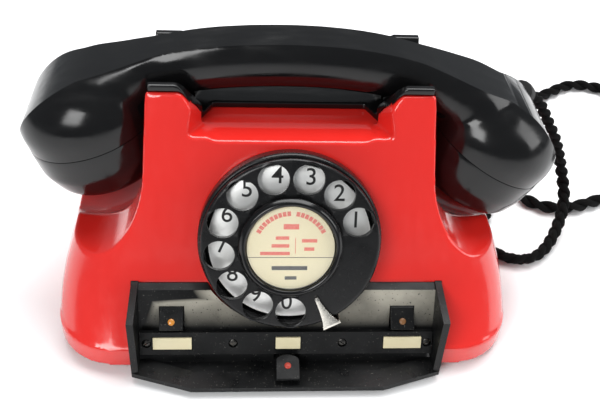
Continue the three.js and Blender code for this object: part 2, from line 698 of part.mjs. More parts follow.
// ---------------------------------------------------------------- handset
// the outline of the handset's back, from the earpiece seam to the mouthpiece seam
const BACK_LINE = new THREE.SplineCurve([
  [-116.2, 72], [-117, 82.5], [-114.4, 92], [-108.8, 100.3], [-101, 107.2], [-91, 112.6], [-72, 118.4],
  [-54.5, 123.5], [-34, 127.4], [0, 129.2], [30, 127.2], [52, 122.6], [77, 113.6], [98, 104.6],
  [108, 98.3], [115.4, 90], [121, 79.5], [124, 67.5], [123, 55],
].map(([x, z]) => new THREE.Vector2(x, z)));

function backHeight(x) {
  const points = BACK_LINE.getPoints(200);
  const after = points.findIndex((point) => point.x >= x && point.y > 70);
  const a = points[after - 1];
  const b = points[after];
  return a.y + ((b.y - a.y) * (x - a.x)) / (b.x - a.x);
}

// section of the grip across Y: flat narrow back, fuller belly
function gripRing(x, halfWidth, height) {
  const top = backHeight(x) + 1.5;
  const bottom = backHeight(x) - height;
  const outline = [[0.62, 1], [0.86, 0.8], [0.98, 0.58], [0.98, 0.42], [0.84, 0.2], [0.5, 0.05], [0.15, 0]];
  const right = outline.map(([w, h]) => [w * halfWidth, bottom + h * (top - bottom)]);
  const left = right.map(([w, z]) => [-w, z]).reverse();
  return [...right, ...left].map(([w, z]) => new THREE.Vector3(x, AXIS_Y + w, z));
}

function grip() {
  const rings = [];
  for (let x = -98; x <= 98; x += 7) {
    const spread = Math.min(Math.max(Math.abs(x) - 56, 0) / 28, 1);
    const past = Math.max(Math.abs(x) - 84, 0) / 22;
    rings.push(gripRing(x, (12.7 + 8 * spread) * Math.sqrt(1 - past * past), GRIP_HEIGHT + 4 * spread));
  }
  return loft(rings);
}

// a piece turned about a cap's axis; its profile heights run up from the seam
function aboutSeam(end, profile, segments = 28) {
  return turned(profile, segments).rotate([0, -end.tilt, 0]).translate([end.x, AXIS_Y, end.z]);
}

// the end's round dome, with the handset's spine running over it
function bell(end, inset) {
  const spine = box(-140, 140, AXIS_Y - SPINE_HALF + inset, AXIS_Y + SPINE_HALF - inset, 30, 140);
  return dome(end, inset, end.dome).add(dome(end, inset, SPINE_HEIGHT).intersect(spine));
}

function dome(end, inset, height) {
  const r = end.radius - inset;
  const tall = height - inset;
  const profile = [[0, inset > 0 ? -1 : 0], [r, inset > 0 ? -1 : 0], [r + 0.4, 6]];
  for (let step = 1; step <= 6; step += 1) {
    const angle = (step / 6) * Math.PI / 2;
    profile.push([(r + 0.4) * Math.cos(angle), 6 + (tall - 6) * Math.sin(angle)]);
  }
  profile[profile.length - 1][0] = 0;
  return aboutSeam(end, profile);
}

function backSolid(inset) {
  const points = BACK_LINE.getPoints(36).map((point) => [point.x, point.y]);
  const shape = shapeOf([[-112, 40], ...points, [112, 40]]);
  const clip = prismY(shape, -60, 60);
  return inset > 0 ? clip.translate([0, 0, -inset]) : clip;
}

function makeHandset() {
  const outer = grip().add(bell(EAR, 0)).add(bell(MOUTH, 0)).intersect(backSolid(0));
  const hollow = bell(EAR, WALL).add(bell(MOUTH, WALL)).intersect(backSolid(WALL))
    .intersect(prismZ(shapeOf([[-113, -40], [119.5, -40], [119.5, 40], [-113, 40]]), 0, 140));
  const below = (end) => aboutSeam(end, [[0, -80], [60, -80], [60, 0], [0, 0]], 24);
  const handle = outer.subtract(hollow).subtract(below(EAR)).subtract(below(MOUTH));
  add('handset_handle', handle, black);

  const cap = (end) => {
    const { radius, depth, rim } = end;
    return [[radius, -GAP], [radius - 0.4, -depth * 0.5], [rim + 1.2, -depth + 3], [rim - 1.4, -depth],
      [rim - 6, -depth + 0.6], [0, -depth + 2], [0, -depth + 5], [rim - 6, -depth + 4],
      [radius - 3.4, -GAP], [radius, -GAP]];
  };
  add('earpiece_cap', soundHoles(aboutSeam(EAR, cap(EAR)), EAR, 3), black);
  add('mouthpiece_cap', soundHoles(aboutSeam(MOUTH, cap(MOUTH)), MOUTH, 2.4), black);
  const capsule = [[0, -9], [21, -9], [23.5, -7], [23.5, 4], [0, 6]];
  add('receiver_capsule', aboutSeam(EAR, capsule, 20), steel);
  add('transmitter_capsule', aboutSeam(MOUTH, capsule, 20), steel);
  add('handset_cord_bush', bushSolid(), rubber);
}

function soundHoles(cap, end, radius) {
  let result = cap;
  for (let hole = 0; hole < 7; hole += 1) {
    const angle = hole * Math.PI / 3;
    const reach = hole === 6 ? 0 : 11;
    const cutter = disc(radius, -30, 0, 8)
      .translate([reach * Math.cos(angle), reach * Math.sin(angle), 0])
      .rotate([0, -end.tilt, 0])
      .translate([end.x, AXIS_Y, end.z]);
    result = result.subtract(cutter);
  }
  return result;
}

// ---------------------------------------------------------------- cords
const BUSH_DIRECTION = new THREE.Vector3(0.62, 0.6, -0.5).normalize();

function bushSolid() {
  const geometry = latheGeometry([[0, 0], [6, 0], [6, 2], [4.6, 9], [0, 9]], 16);
  const up = new THREE.Vector3(0, 0, 1);
  geometry.applyQuaternion(new THREE.Quaternion().setFromUnitVectors(up, BUSH_DIRECTION));
  geometry.translate(LIFT_BUSH.x, LIFT_BUSH.y, LIFT_BUSH.z);
  return solid(geometry).subtract(bell(MOUTH, -GAP).intersect(backSolid(0).translate([0, 0, GAP])));
}

function rearBush(name, x) {
  const profile = [[0, 0], [8, 0], [8, 2.6], [5.6, 3.4], [4.4, 24], [0, 24]];
  const spigot = disc(5, -8, 0.5, 16);
  const piece = turned(profile, 20)
    .add(spigot)
    .rotate([-90, 0, 0])
    .translate([x, PLINTH_REAR + GAP, CORD_EXIT_Z]);
  add(name, piece, rubber);
}

// handset cord: from the bush on the mouthpiece end, down to the table, a loop beside the
// case, then round behind it to the inlet
const HANDSET_CORD = [
  [118.3, 30.7, 83.2], [123.6, 35.6, 79], [130.6, 39.2, 71], [137.4, 40.8, 60], [143.6, 41.6, 49.6],
  [148.6, 42.6, 39], [152.4, 42.8, 29.6], [154.8, 40.6, 21.8], [155.4, 35.4, 16], [153.6, 28.4, 12.2],
  [149.8, 20.2, 9], [144.4, 11.4, 6.2], [137.4, 3.2, 4], [129, -2, FLOOR_LINE],
  [118.7, -1.7, FLOOR_LINE], [110.6, 4.8, FLOOR_LINE], [107.8, 14.4, FLOOR_LINE], [110, 25, FLOOR_LINE],
  [114.8, 36, FLOOR_LINE], [119, 48, FLOOR_LINE], [121, 61, FLOOR_LINE], [120.6, 78, FLOOR_LINE],
  [120, 100, FLOOR_LINE], [115.6, 124, FLOOR_LINE], [100, 143, FLOOR_LINE], [74, 151, FLOOR_LINE],
  [30, 154, FLOOR_LINE], [-8, 156.8, FLOOR_LINE], [-26, 155.9, FLOOR_LINE], [-39.2, 150.2, FLOOR_LINE],
  [-45, 136.6, FLOOR_LINE], [-39.4, 123.4, FLOOR_LINE], [-26, 118, FLOOR_LINE], [-6, 120.6, FLOOR_LINE],
  [16, 131, FLOOR_LINE], [33, 139.4, 3.7], [44.6, 141.2, 3.9], [53.6, 138.7, 4.5], [59.8, 132.5, 6],
  [62, 124, 8.2], [62, 117, 10.3], [62, 110.2, 11],
];

// line cord: from its bush round the right-hand side of the phone to the coil
const LINE_CORD = [
  [-70, 110.2, 11], [-70, 117, 10.6], [-70, 126, 8.2], [-69.4, 136, 5], [-66, 147, 3.8],
  [-57, 159, FLOOR_LINE], [-42, 167.4, FLOOR_LINE], [-20, 171, FLOOR_LINE], [30, 172, FLOOR_LINE],
  [80, 170, FLOOR_LINE], [112, 158, FLOOR_LINE], [132, 136, FLOOR_LINE], [140, 108, FLOOR_LINE],
  [138.6, 84, FLOOR_LINE], [135, 66, FLOOR_LINE], [135.6, 54, FLOOR_LINE], [141.4, 44.6, FLOOR_LINE],
  [151, 39.6, FLOOR_LINE], [164, 39.8, FLOOR_LINE], [177, 44.3, FLOOR_LINE], [190, 50, FLOOR_LINE],
  [202, 57.4, FLOOR_LINE], [211.9, 64.9, FLOOR_LINE],
];

const COIL = { x: 249.5, y: 92, inner: 31.4, outer: 45.7, top: 4.2 * CORD / 2 };

// from the coil back behind the phone, to the wall terminal block
const LINE_TAIL = [
  [233.9, 137, 10.2], [232.6, 146, 7], [228.6, 156, 4.4], [220.6, 164.4, 3.8],
  [208.6, 168.6, FLOOR_LINE], [196.4, 166.4, FLOOR_LINE], [186, 159.6, FLOOR_LINE],
  [175, 153.6, FLOOR_LINE], [162, 154.6, FLOOR_LINE], [148, 165, FLOOR_LINE], [134, 180, FLOOR_LINE],
  [114, 190.6, FLOOR_LINE], [92, 194, 3.8], [72, 193.2, 4.4], [54, 190.8, 5.4], [34.8, 190, 6],
];

function cordTube(name, points, steps) {
  const route = new THREE.CatmullRomCurve3(points.map((point) => new THREE.Vector3(...point)));
  const section = new THREE.Shape();
  section.absarc(0, 0, CORD / 2, 0, 2 * Math.PI, false);
  const geometry = new THREE.ExtrudeGeometry(section, { steps, extrudePath: route, curveSegments: 4 });
  add(name, solid(geometry), cotton);
}

function makeCords() {
  cordTube('handset_cord', HANDSET_CORD, 36);
  cordTube('line_cord', LINE_CORD, 30);
  cordTube('line_cord_tail', LINE_TAIL, 14);
  const coil = ring(COIL.inner, COIL.outer, 0.1, COIL.top, 32).translate([COIL.x, COIL.y, 0]);
  add('line_cord_coil', coil, cotton);
  const block = turned([[0, 0], [14, 0], [14, 8], [12.4, 11.2], [0, 12]], 28).translate([20, 190, 0]);
  add('terminal_block', block, black);
}

makeCase();
makeBase();
makeCradle();
makeHookSwitch();
makeDial();
makeTray();
makeKeys();
makeRinger();
makeInsides();
makeHandset();
rearBush('line_cord_bush', CORD_EXITS[0]);
rearBush('handset_cord_inlet', CORD_EXITS[1]);
makeCords();

export default phone;
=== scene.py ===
"""Looks of a desk telephone: red case, black handset and cradle, dial, key tray and cotton cords.

Shapes are drawn in millimetres in the phone's, the face's or the dial's own frame, and are
moved into the row frame, in metres, when they are finished.
"""

import math

import bmesh
import bpy
from mathutils import Matrix, Vector


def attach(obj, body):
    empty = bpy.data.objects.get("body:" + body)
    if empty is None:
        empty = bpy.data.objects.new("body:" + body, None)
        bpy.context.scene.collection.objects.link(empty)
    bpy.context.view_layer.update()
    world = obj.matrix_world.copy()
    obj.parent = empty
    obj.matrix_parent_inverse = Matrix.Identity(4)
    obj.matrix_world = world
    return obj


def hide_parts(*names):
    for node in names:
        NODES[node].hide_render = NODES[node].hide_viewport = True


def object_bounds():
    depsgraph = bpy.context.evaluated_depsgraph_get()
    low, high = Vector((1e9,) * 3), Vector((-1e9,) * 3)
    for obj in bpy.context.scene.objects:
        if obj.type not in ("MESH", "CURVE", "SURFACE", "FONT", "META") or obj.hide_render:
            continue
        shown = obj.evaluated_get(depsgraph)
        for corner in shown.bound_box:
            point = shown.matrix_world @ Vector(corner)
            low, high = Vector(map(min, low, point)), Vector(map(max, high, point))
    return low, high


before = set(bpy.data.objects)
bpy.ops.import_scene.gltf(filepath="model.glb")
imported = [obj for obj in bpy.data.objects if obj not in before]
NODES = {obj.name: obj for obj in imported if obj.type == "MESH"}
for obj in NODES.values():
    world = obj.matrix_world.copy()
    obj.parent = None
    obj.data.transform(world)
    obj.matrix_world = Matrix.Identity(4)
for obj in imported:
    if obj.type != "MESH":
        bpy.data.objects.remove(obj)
cad_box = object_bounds()

# ------------------------------------------------------------------ driving dimensions, mm
MM = 0.001
GAP = 0.3
WALL = 3.0
LEAN = math.radians(21.3)
PHONE = Matrix.Translation((-3.4, 0, 0))
FACE_TOP_Y, FACE_TOP_Z = -22.0, 114.6
FACE = PHONE @ Matrix.Translation((0, FACE_TOP_Y, FACE_TOP_Z)) @ Matrix.Rotation(math.pi / 2 - LEAN, 4, "X")
DIAL_DOWN = 61.6
DIAL = FACE @ Matrix.Translation((0, -DIAL_DOWN, 0))

REAR_TOP_Y, REAR_SLOPE = 26.0, 0.45
PLINTH_HALF_WIDTH, PLINTH_FRONT, PLINTH_REAR, PLINTH_TOP = 103.4, -70.5, 85.0, 13.0
CASE_BOTTOM, FLARE_TOP, PLAN_CORNER = 3.0, 48.0, 28.0
TOWER_HALF_WIDTH = 60.0
SCOOP_X, SCOOP_Z, SCOOP_RX, SCOOP_RZ = 90.0, 85.5, 28.0, 40.0
WAIST_X, WAIST_RADIUS, WAIST_Z, WAIST_DEPTH = 88.5, 35.0, 70.0, 29.0

AXIS_Y = 2.0
HORN_TOP, SADDLE_TOP, MOULDING = 117.8, 98.7, 3.0
HORN_INNER_X, SADDLE_X, CHANNEL_HALF = 47.0, 34.0, 13.0
CHANNEL_LIP, CHANNEL_BEND = 20.0, 104.0
PLUNGER_X, PLUNGER_RADIUS = 45.0, 3.4

PLATE_RADIUS, PLATE_TOP, PLATE_THICKNESS = 38.0, 12.7, 2.4
HOLE_CIRCLE, HOLE_RADIUS, FIRST_HOLE, HOLE_PITCH = 30.2, 6.55, 21.1, 27.8
CARD_RADIUS, STOP_ANGLE = 18.4, -64.0

TRAY_HALF, TRAY_TOP_DOWN = 68.3, 82.3
STRIP_MIDDLE, STRIP_FRONT = 110.0, 6.2
SCREWS = (-62.0, -24.0, 24.5, 62.6)
CORD_EXITS = {"line": -70.0, "handset": 62.0}
CORD_EXIT_Z = 11.0
CAPITAL_SHARE = 0.73
PRINT_LOW, PRINT_HIGH = 14.19, 14.26
ARC_GAP = 8
FIGURE_CIRCLE, FIGURE_LIFT, FIGURE_HEIGHT = 29.0, 1.0, 7.6
FLARE_HALF_WIDTH, FLARE_REACH = 94.4, 8.4

EAR = {"x": -86.5, "z": 85.5, "radius": 30.8, "tilt": 16.5, "dome": 30.2, "depth": 24.6, "rim": 25.6}
MOUTH = {"x": 92.3, "z": 76.7, "radius": 31.7, "tilt": -28.6, "dome": 30.2, "depth": 22.5, "rim": 28.0}
BACK_LINE = (
    (-116.2, 72), (-117, 82.5), (-114.4, 92), (-108.8, 100.3), (-101, 107.2), (-91, 112.6),
    (-72, 118.4), (-54.5, 123.5), (-34, 127.4), (0, 129.2), (30, 127.2), (52, 122.6), (77, 113.6),
    (98, 104.6), (108, 98.3), (115.4, 90), (121, 79.5), (124, 67.5), (123, 55),
)
SPINE_HALF, SPINE_HEIGHT = 9.5, 37.0

CORD = 7.0
FLOOR_LINE = CORD / 2 + 0.1
HANDSET_CORD = (
    (118.3, 30.7, 83.2), (123.6, 35.6, 79), (130.6, 39.2, 71), (137.4, 40.8, 60), (143.6, 41.6, 49.6),
    (148.6, 42.6, 39), (152.4, 42.8, 29.6), (154.8, 40.6, 21.8), (155.4, 35.4, 16), (153.6, 28.4, 12.2),
    (149.8, 20.2, 9), (144.4, 11.4, 6.2), (137.4, 3.2, 4), (129, -2, FLOOR_LINE),
    (118.7, -1.7, FLOOR_LINE), (110.6, 4.8, FLOOR_LINE), (107.8, 14.4, FLOOR_LINE), (110, 25, FLOOR_LINE),
    (114.8, 36, FLOOR_LINE), (119, 48, FLOOR_LINE), (121, 61, FLOOR_LINE), (120.6, 78, FLOOR_LINE),
    (120, 100, FLOOR_LINE), (115.6, 124, FLOOR_LINE), (100, 143, FLOOR_LINE), (74, 151, FLOOR_LINE),
    (30, 154, FLOOR_LINE), (-8, 156.8, FLOOR_LINE), (-26, 155.9, FLOOR_LINE), (-39.2, 150.2, FLOOR_LINE),
    (-45, 136.6, FLOOR_LINE), (-39.4, 123.4, FLOOR_LINE), (-26, 118, FLOOR_LINE), (-6, 120.6, FLOOR_LINE),
    (16, 131, FLOOR_LINE), (33, 139.4, 3.7), (44.6, 141.2, 3.9), (53.6, 138.7, 4.5), (59.8, 132.5, 6),
    (62, 124, 8.2), (62, 117, 10.3), (62, 110.2, 11),
)
LINE_CORD = (
    (-70, 110.2, 11), (-70, 117, 10.6), (-70, 126, 8.2), (-69.4, 136, 5), (-66, 147, 3.8),
    (-57, 159, FLOOR_LINE), (-42, 167.4, FLOOR_LINE), (-20, 171, FLOOR_LINE), (30, 172, FLOOR_LINE),
    (80, 170, FLOOR_LINE), (112, 158, FLOOR_LINE), (132, 136, FLOOR_LINE), (140, 108, FLOOR_LINE),
    (138.6, 84, FLOOR_LINE), (135, 66, FLOOR_LINE), (135.6, 54, FLOOR_LINE), (141.4, 44.6, FLOOR_LINE),
    (151, 39.6, FLOOR_LINE), (164, 39.8, FLOOR_LINE), (177, 44.3, FLOOR_LINE), (190, 50, FLOOR_LINE),
    (202, 57.4, FLOOR_LINE), (211.9, 64.9, FLOOR_LINE),
)
LINE_TAIL = (
    (233.9, 137, 10.2), (232.6, 146, 7), (228.6, 156, 4.4), (220.6, 164.4, 3.8),
    (208.6, 168.6, FLOOR_LINE), (196.4, 166.4, FLOOR_LINE), (186, 159.6, FLOOR_LINE),
    (175, 153.6, FLOOR_LINE), (162, 154.6, FLOOR_LINE), (148, 165, FLOOR_LINE), (134, 180, FLOOR_LINE),
    (114, 190.6, FLOOR_LINE), (92, 194, 3.8), (72, 193.2, 4.4), (54, 190.8, 5.4), (34.8, 190, 6),
)
COIL = {"x": 249.5, "y": 92.0, "inner": 35.0, "outer": 42.0}


# ------------------------------------------------------------------ camera
def make_camera():
    elevation, turn, roll = math.radians(40), math.radians(-5.1), math.radians(3.6)
    distance = 0.4146
    target = Vector((4.4, 0, 37.5)) * MM
    back = Vector((math.sin(turn) * math.cos(elevation), -math.cos(turn) * math.cos(elevation),
                   math.sin(elevation)))
    level = Vector((math.cos(turn), math.sin(turn), 0))
    above = back.cross(level)
    right = level * math.cos(roll) + above * math.sin(roll)
    up = above * math.cos(roll) - level * math.sin(roll)
    data = bpy.data.cameras.new("camera")
    data.sensor_width = 36
    data.lens = 51
    data.clip_start, data.clip_end = 0.02, 20
    camera = bpy.data.objects.new("camera", data)
    bpy.context.scene.collection.objects.link(camera)
    place = Matrix((right, up, back)).transposed().to_4x4()
    place.translation = target + back * distance
    camera.matrix_world = place
    bpy.context.scene.camera = camera


make_camera()


# ------------------------------------------------------------------ mesh helpers, mm
def mesh_object(name, points, faces):
    data = bpy.data.meshes.new(name)
    data.from_pydata([tuple(p) for p in points], [], faces)
    made = bmesh.new()
    made.from_mesh(data)
    bmesh.ops.recalc_face_normals(made, faces=made.faces)
    made.to_mesh(data)
    made.free()
    obj = bpy.data.objects.new(name, data)
    bpy.context.scene.collection.objects.link(obj)
    return obj


def settle(obj):
    """Applies the modifiers."""
    bpy.context.view_layer.update()
    graph = bpy.context.evaluated_depsgraph_get()
    fresh = bpy.data.meshes.new_from_object(obj.evaluated_get(graph))
    obj.modifiers.clear()
    old = obj.data
    obj.data = fresh
    bpy.data.meshes.remove(old)
    return obj


def combine(target, other, operation="DIFFERENCE"):
    """Cuts, joins or intersects target with other, which is used up."""
    modifier = target.modifiers.new("combine", "BOOLEAN")
    modifier.operation = operation
    modifier.object = other
    modifier.solver = "MANIFOLD"
    settle(target)
    bpy.data.objects.remove(other)
    return target


def move(obj, matrix):
    obj.data.transform(matrix)
    if matrix.determinant() < 0:
        obj.data.flip_normals()
    return obj


def copy_of(obj):
    twin = obj.copy()
    twin.data = obj.data.copy()
    bpy.context.scene.collection.objects.link(twin)
    return twin


def both_sides(obj):
    twin = move(copy_of(obj), Matrix.Scale(-1, 4, (1, 0, 0)))
    return combine(obj, twin, "UNION")


def soften(obj, voxel, rounds):
    """Rebuilds the surface in even small faces and rounds its edges."""
    remesh = obj.modifiers.new("even", "REMESH")
    remesh.mode = "VOXEL"
    remesh.voxel_size = voxel
    smooth = obj.modifiers.new("round", "SMOOTH")
    smooth.factor = 0.5
    smooth.iterations = rounds
    return settle(obj)


def bevelled(obj, width, angle):
    bevel = obj.modifiers.new("edges", "BEVEL")
    bevel.width = width
    bevel.segments = 3
    bevel.limit_method = "ANGLE"
    bevel.angle_limit = math.radians(angle)
    return settle(obj)


def filleted(points, radius, steps=3):
    """A profile with its corners rounded, as far as its sides leave room."""
    points = [Vector(p) for p in points]
    rounded = [points[0]]
    for before, corner, after in zip(points, points[1:], points[2:]):
        start = corner + (before - corner).normalized() * min(radius, (before - corner).length * 0.48)
        end = corner + (after - corner).normalized() * min(radius, (after - corner).length * 0.48)
        for step in range(steps + 1):
            t = step / steps
            rounded.append(start * (1 - t) ** 2 + corner * 2 * t * (1 - t) + end * t * t)
    rounded.append(points[-1])
    return rounded


def turned(profile, segments=96):
    """A solid turned about Z from points (radius, height), which end on the axis or close."""
    profile = [tuple(p) for p in profile]
    closed = profile[0] == profile[-1]
    if closed:
        profile = profile[:-1]
    points, rows = [], []
    for radius, height in profile:
        if radius < 1e-6:
            rows.append([len(points)] * segments)
            points.append((0, 0, height))
            continue
        rows.append(range(len(points), len(points) + segments))
        angles = [2 * math.pi * k / segments for k in range(segments)]
        points += [(radius * math.cos(angle), radius * math.sin(angle), height) for angle in angles]
    pairs = list(zip(rows, rows[1:] + rows[:1] if closed else rows[1:]))
    faces = []
    for low, high in pairs:
        for k in range(segments):
            after = (k + 1) % segments
            corners = [low[k], low[after], high[after], high[k]]
            face = [c for i, c in enumerate(corners) if c not in corners[:i]]
            if len(face) > 2:
                faces.append(face)
    return mesh_object("turned", points, faces)


def disc(radius, low, high, segments=64):
    return turned([(0, low), (radius, low), (radius, high), (0, high)], segments)


def prism(outline, low, high, plane="XY"):
    """An outline in one plane, run along the third axis."""
    spread = {
        "XY": lambda a, b, c: (a, b, c),
        "XZ": lambda a, b, c: (a, c, b),
        "YZ": lambda a, b, c: (c, a, b),
    }
    count = len(outline)
    points = [spread[plane](a, b, low) for a, b in outline] + [spread[plane](a, b, high) for a, b in outline]
    faces = [list(range(count)), list(range(count, 2 * count))]
    faces += [[k, (k + 1) % count, count + (k + 1) % count, count + k] for k in range(count)]
    return mesh_object("prism", points, faces)


def box(x0, x1, y0, y1, z0, z1):
    return prism([(x0, y0), (x1, y0), (x1, y1), (x0, y1)], z0, z1)


def loft(rings):
    """A skin over rings of equally many points, closed by a face at each end."""
    count = len(rings[0])
    points = [p for ring in rings for p in ring]
    faces = [list(range(count)), list(range(len(points) - count, len(points)))]
    for row in range(len(rings) - 1):
        for k in range(count):
            a, b = row * count + k, row * count + (k + 1) % count
            faces.append([a, b, b + count, a + count])
    return mesh_object("loft", points, faces)


def bezier(start, pull_a, pull_b, end, steps=16):
    a, b, c, d = (Vector(p) for p in (start, pull_a, pull_b, end))
    made = []
    for step in range(steps + 1):
        t = step / steps
        made.append(a * (1 - t) ** 3 + b * 3 * t * (1 - t) ** 2 + c * 3 * t * t * (1 - t) + d * t ** 3)
    return made


def smooth_line(points, per_span=12):
    """Centripetal Catmull-Rom line through the points."""
    points = [Vector(p) for p in points]
    padded = [points[0] * 2 - points[1], *points, points[-1] * 2 - points[-2]]
    line = []
    for a, b, c, d in zip(padded, padded[1:], padded[2:], padded[3:]):
        ta = 0.0
        tb = ta + max((b - a).length, 1e-6) ** 0.5
        tc = tb + max((c - b).length, 1e-6) ** 0.5
        td = tc + max((d - c).length, 1e-6) ** 0.5
        for step in range(per_span):
            t = tb + (tc - tb) * step / per_span
            ab = a * ((tb - t) / (tb - ta)) + b * ((t - ta) / (tb - ta))
            bc = b * ((tc - t) / (tc - tb)) + c * ((t - tb) / (tc - tb))
            cd = c * ((td - t) / (td - tc)) + d * ((t - tc) / (td - tc))
            abc = ab * ((tc - t) / (tc - ta)) + bc * ((t - ta) / (tc - ta))
            bcd = bc * ((td - t) / (td - tb)) + cd * ((t - tb) / (td - tb))
            line.append(abc * ((tc - t) / (tc - tb)) + bcd * ((t - tb) / (tc - tb)))
    return line + [points[-1]]


def joined(objects, name):
    """One object from several, without merging their surfaces."""
    made = bmesh.new()
    for obj in objects:
        made.from_mesh(obj.data)
        bpy.data.objects.remove(obj)
    data = bpy.data.meshes.new(name)
    made.to_mesh(data)
    made.free()
    obj = bpy.data.objects.new(name, data)
    bpy.context.scene.collection.objects.link(obj)
    return obj


def piece(obj, name, look, body="root", stands_for=(), slot=None, into=PHONE, sharp=40):
    """Puts a finished mesh into the row frame, on its body and in its material."""
    move(obj, Matrix.Scale(MM, 4) @ into)
    obj.name = name
    obj.data.name = name
    obj.data.materials.clear()
    obj.data.materials.append(look)
    obj.data.shade_smooth()
    obj.data.set_sharp_from_angle(angle=math.radians(sharp))
    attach(obj, body)
    if stands_for:
        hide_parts(*stands_for)
    return obj


def dress(node, look, bevel):
    """Keeps a CAD node, with its flat faces whole, its edges eased and its material."""
    obj = NODES[node]
    weld = obj.modifiers.new("weld", "WELD")
    weld.merge_threshold = 1e-6
    flat = obj.modifiers.new("flat", "DECIMATE")
    flat.decimate_type = "DISSOLVE"
    flat.angle_limit = math.radians(1)
    edges = obj.modifiers.new("edges", "BEVEL")
    edges.width = bevel * MM
    edges.segments = 3
    edges.limit_method = "ANGLE"
    edges.angle_limit = math.radians(35)
    obj.data.materials.clear()
    obj.data.materials.append(look)


# ------------------------------------------------------------------ materials
class Look:
    """A node material on a Principled shader, with patterns in the object's own coordinates."""

    def __init__(self, name, color, roughness, **sockets):
        self.material = bpy.data.materials.new(name)
        self.material.use_nodes = True
        self.tree = self.material.node_tree
        self.shader = self.tree.nodes["Principled BSDF"]
        self.color = (*color, 1)
        self.shader.inputs["Base Color"].default_value = self.color
        self.shader.inputs["Roughness"].default_value = roughness
        for socket, value in sockets.items():
            self.shader.inputs[socket.replace("_", " ")].default_value = value
        self.coordinates = self.tree.nodes.new("ShaderNodeTexCoord")
        self.last_bump = None

    def pattern(self, scale, detail=4, stretch=(1, 1, 1), kind="ShaderNodeTexNoise", source="Object"):
        mapping = self.tree.nodes.new("ShaderNodeMapping")
        mapping.inputs["Scale"].default_value = stretch
        texture = self.tree.nodes.new(kind)
        texture.inputs["Scale"].default_value = scale
        if "Detail" in texture.inputs:
            texture.inputs["Detail"].default_value = detail
        self.tree.links.new(self.coordinates.outputs[source], mapping.inputs["Vector"])
        self.tree.links.new(mapping.outputs["Vector"], texture.inputs["Vector"])
        return texture.outputs[0]

    def band(self, factor, low, high, result_low=0.0, result_high=1.0):
        spread = self.tree.nodes.new("ShaderNodeMapRange")
        spread.inputs["From Min"].default_value = low
        spread.inputs["From Max"].default_value = high
        spread.inputs["To Min"].default_value = result_low
        spread.inputs["To Max"].default_value = result_high
        self.tree.links.new(factor, spread.inputs["Value"])
        return spread.outputs["Result"]

    def facing(self, direction):
        """How far the surface faces one way in the object's own frame: 1 when straight."""
        product = self.tree.nodes.new("ShaderNodeVectorMath")
        product.operation = "DOT_PRODUCT"
        product.inputs[1].default_value = direction
        self.tree.links.new(self.coordinates.outputs["Normal"], product.inputs[0])
        return product.outputs["Value"]

    def height(self):
        apart = self.tree.nodes.new("ShaderNodeSeparateXYZ")
        self.tree.links.new(self.coordinates.outputs["Object"], apart.inputs[0])
        return apart.outputs["Z"]

    def both(self, first, second):
        product = self.tree.nodes.new("ShaderNodeMath")
        product.operation = "MULTIPLY"
        self.tree.links.new(first, product.inputs[0])
        self.tree.links.new(second, product.inputs[1])
        return product.outputs[0]

    def tint(self, factor, color):
        """Mixes another colour in where factor is high."""
        mix = self.tree.nodes.new("ShaderNodeMix")
        mix.data_type = "RGBA"
        inputs = [s for s in mix.inputs if s.type == "RGBA"]
        present = self.shader.inputs["Base Color"]
        if present.is_linked:
            self.tree.links.new(present.links[0].from_socket, inputs[0])
        else:
            inputs[0].default_value = self.color
        inputs[1].default_value = (*color, 1)
        self.tree.links.new(factor, mix.inputs[0])
        self.tree.links.new([s for s in mix.outputs if s.type == "RGBA"][0], present)
        return self

    def roughen(self, factor, low, high):
        self.tree.links.new(self.band(factor, 0.3, 0.7, low, high), self.shader.inputs["Roughness"])
        return self

    def bump(self, height, distance, strength=1.0):
        bump = self.tree.nodes.new("ShaderNodeBump")
        bump.inputs["Strength"].default_value = strength
        bump.inputs["Distance"].default_value = distance
        self.tree.links.new(height, bump.inputs["Height"])
        if self.last_bump:
            self.tree.links.new(self.last_bump, bump.inputs["Normal"])
        self.last_bump = bump.outputs["Normal"]
        self.tree.links.new(self.last_bump, self.shader.inputs["Normal"])
        return self


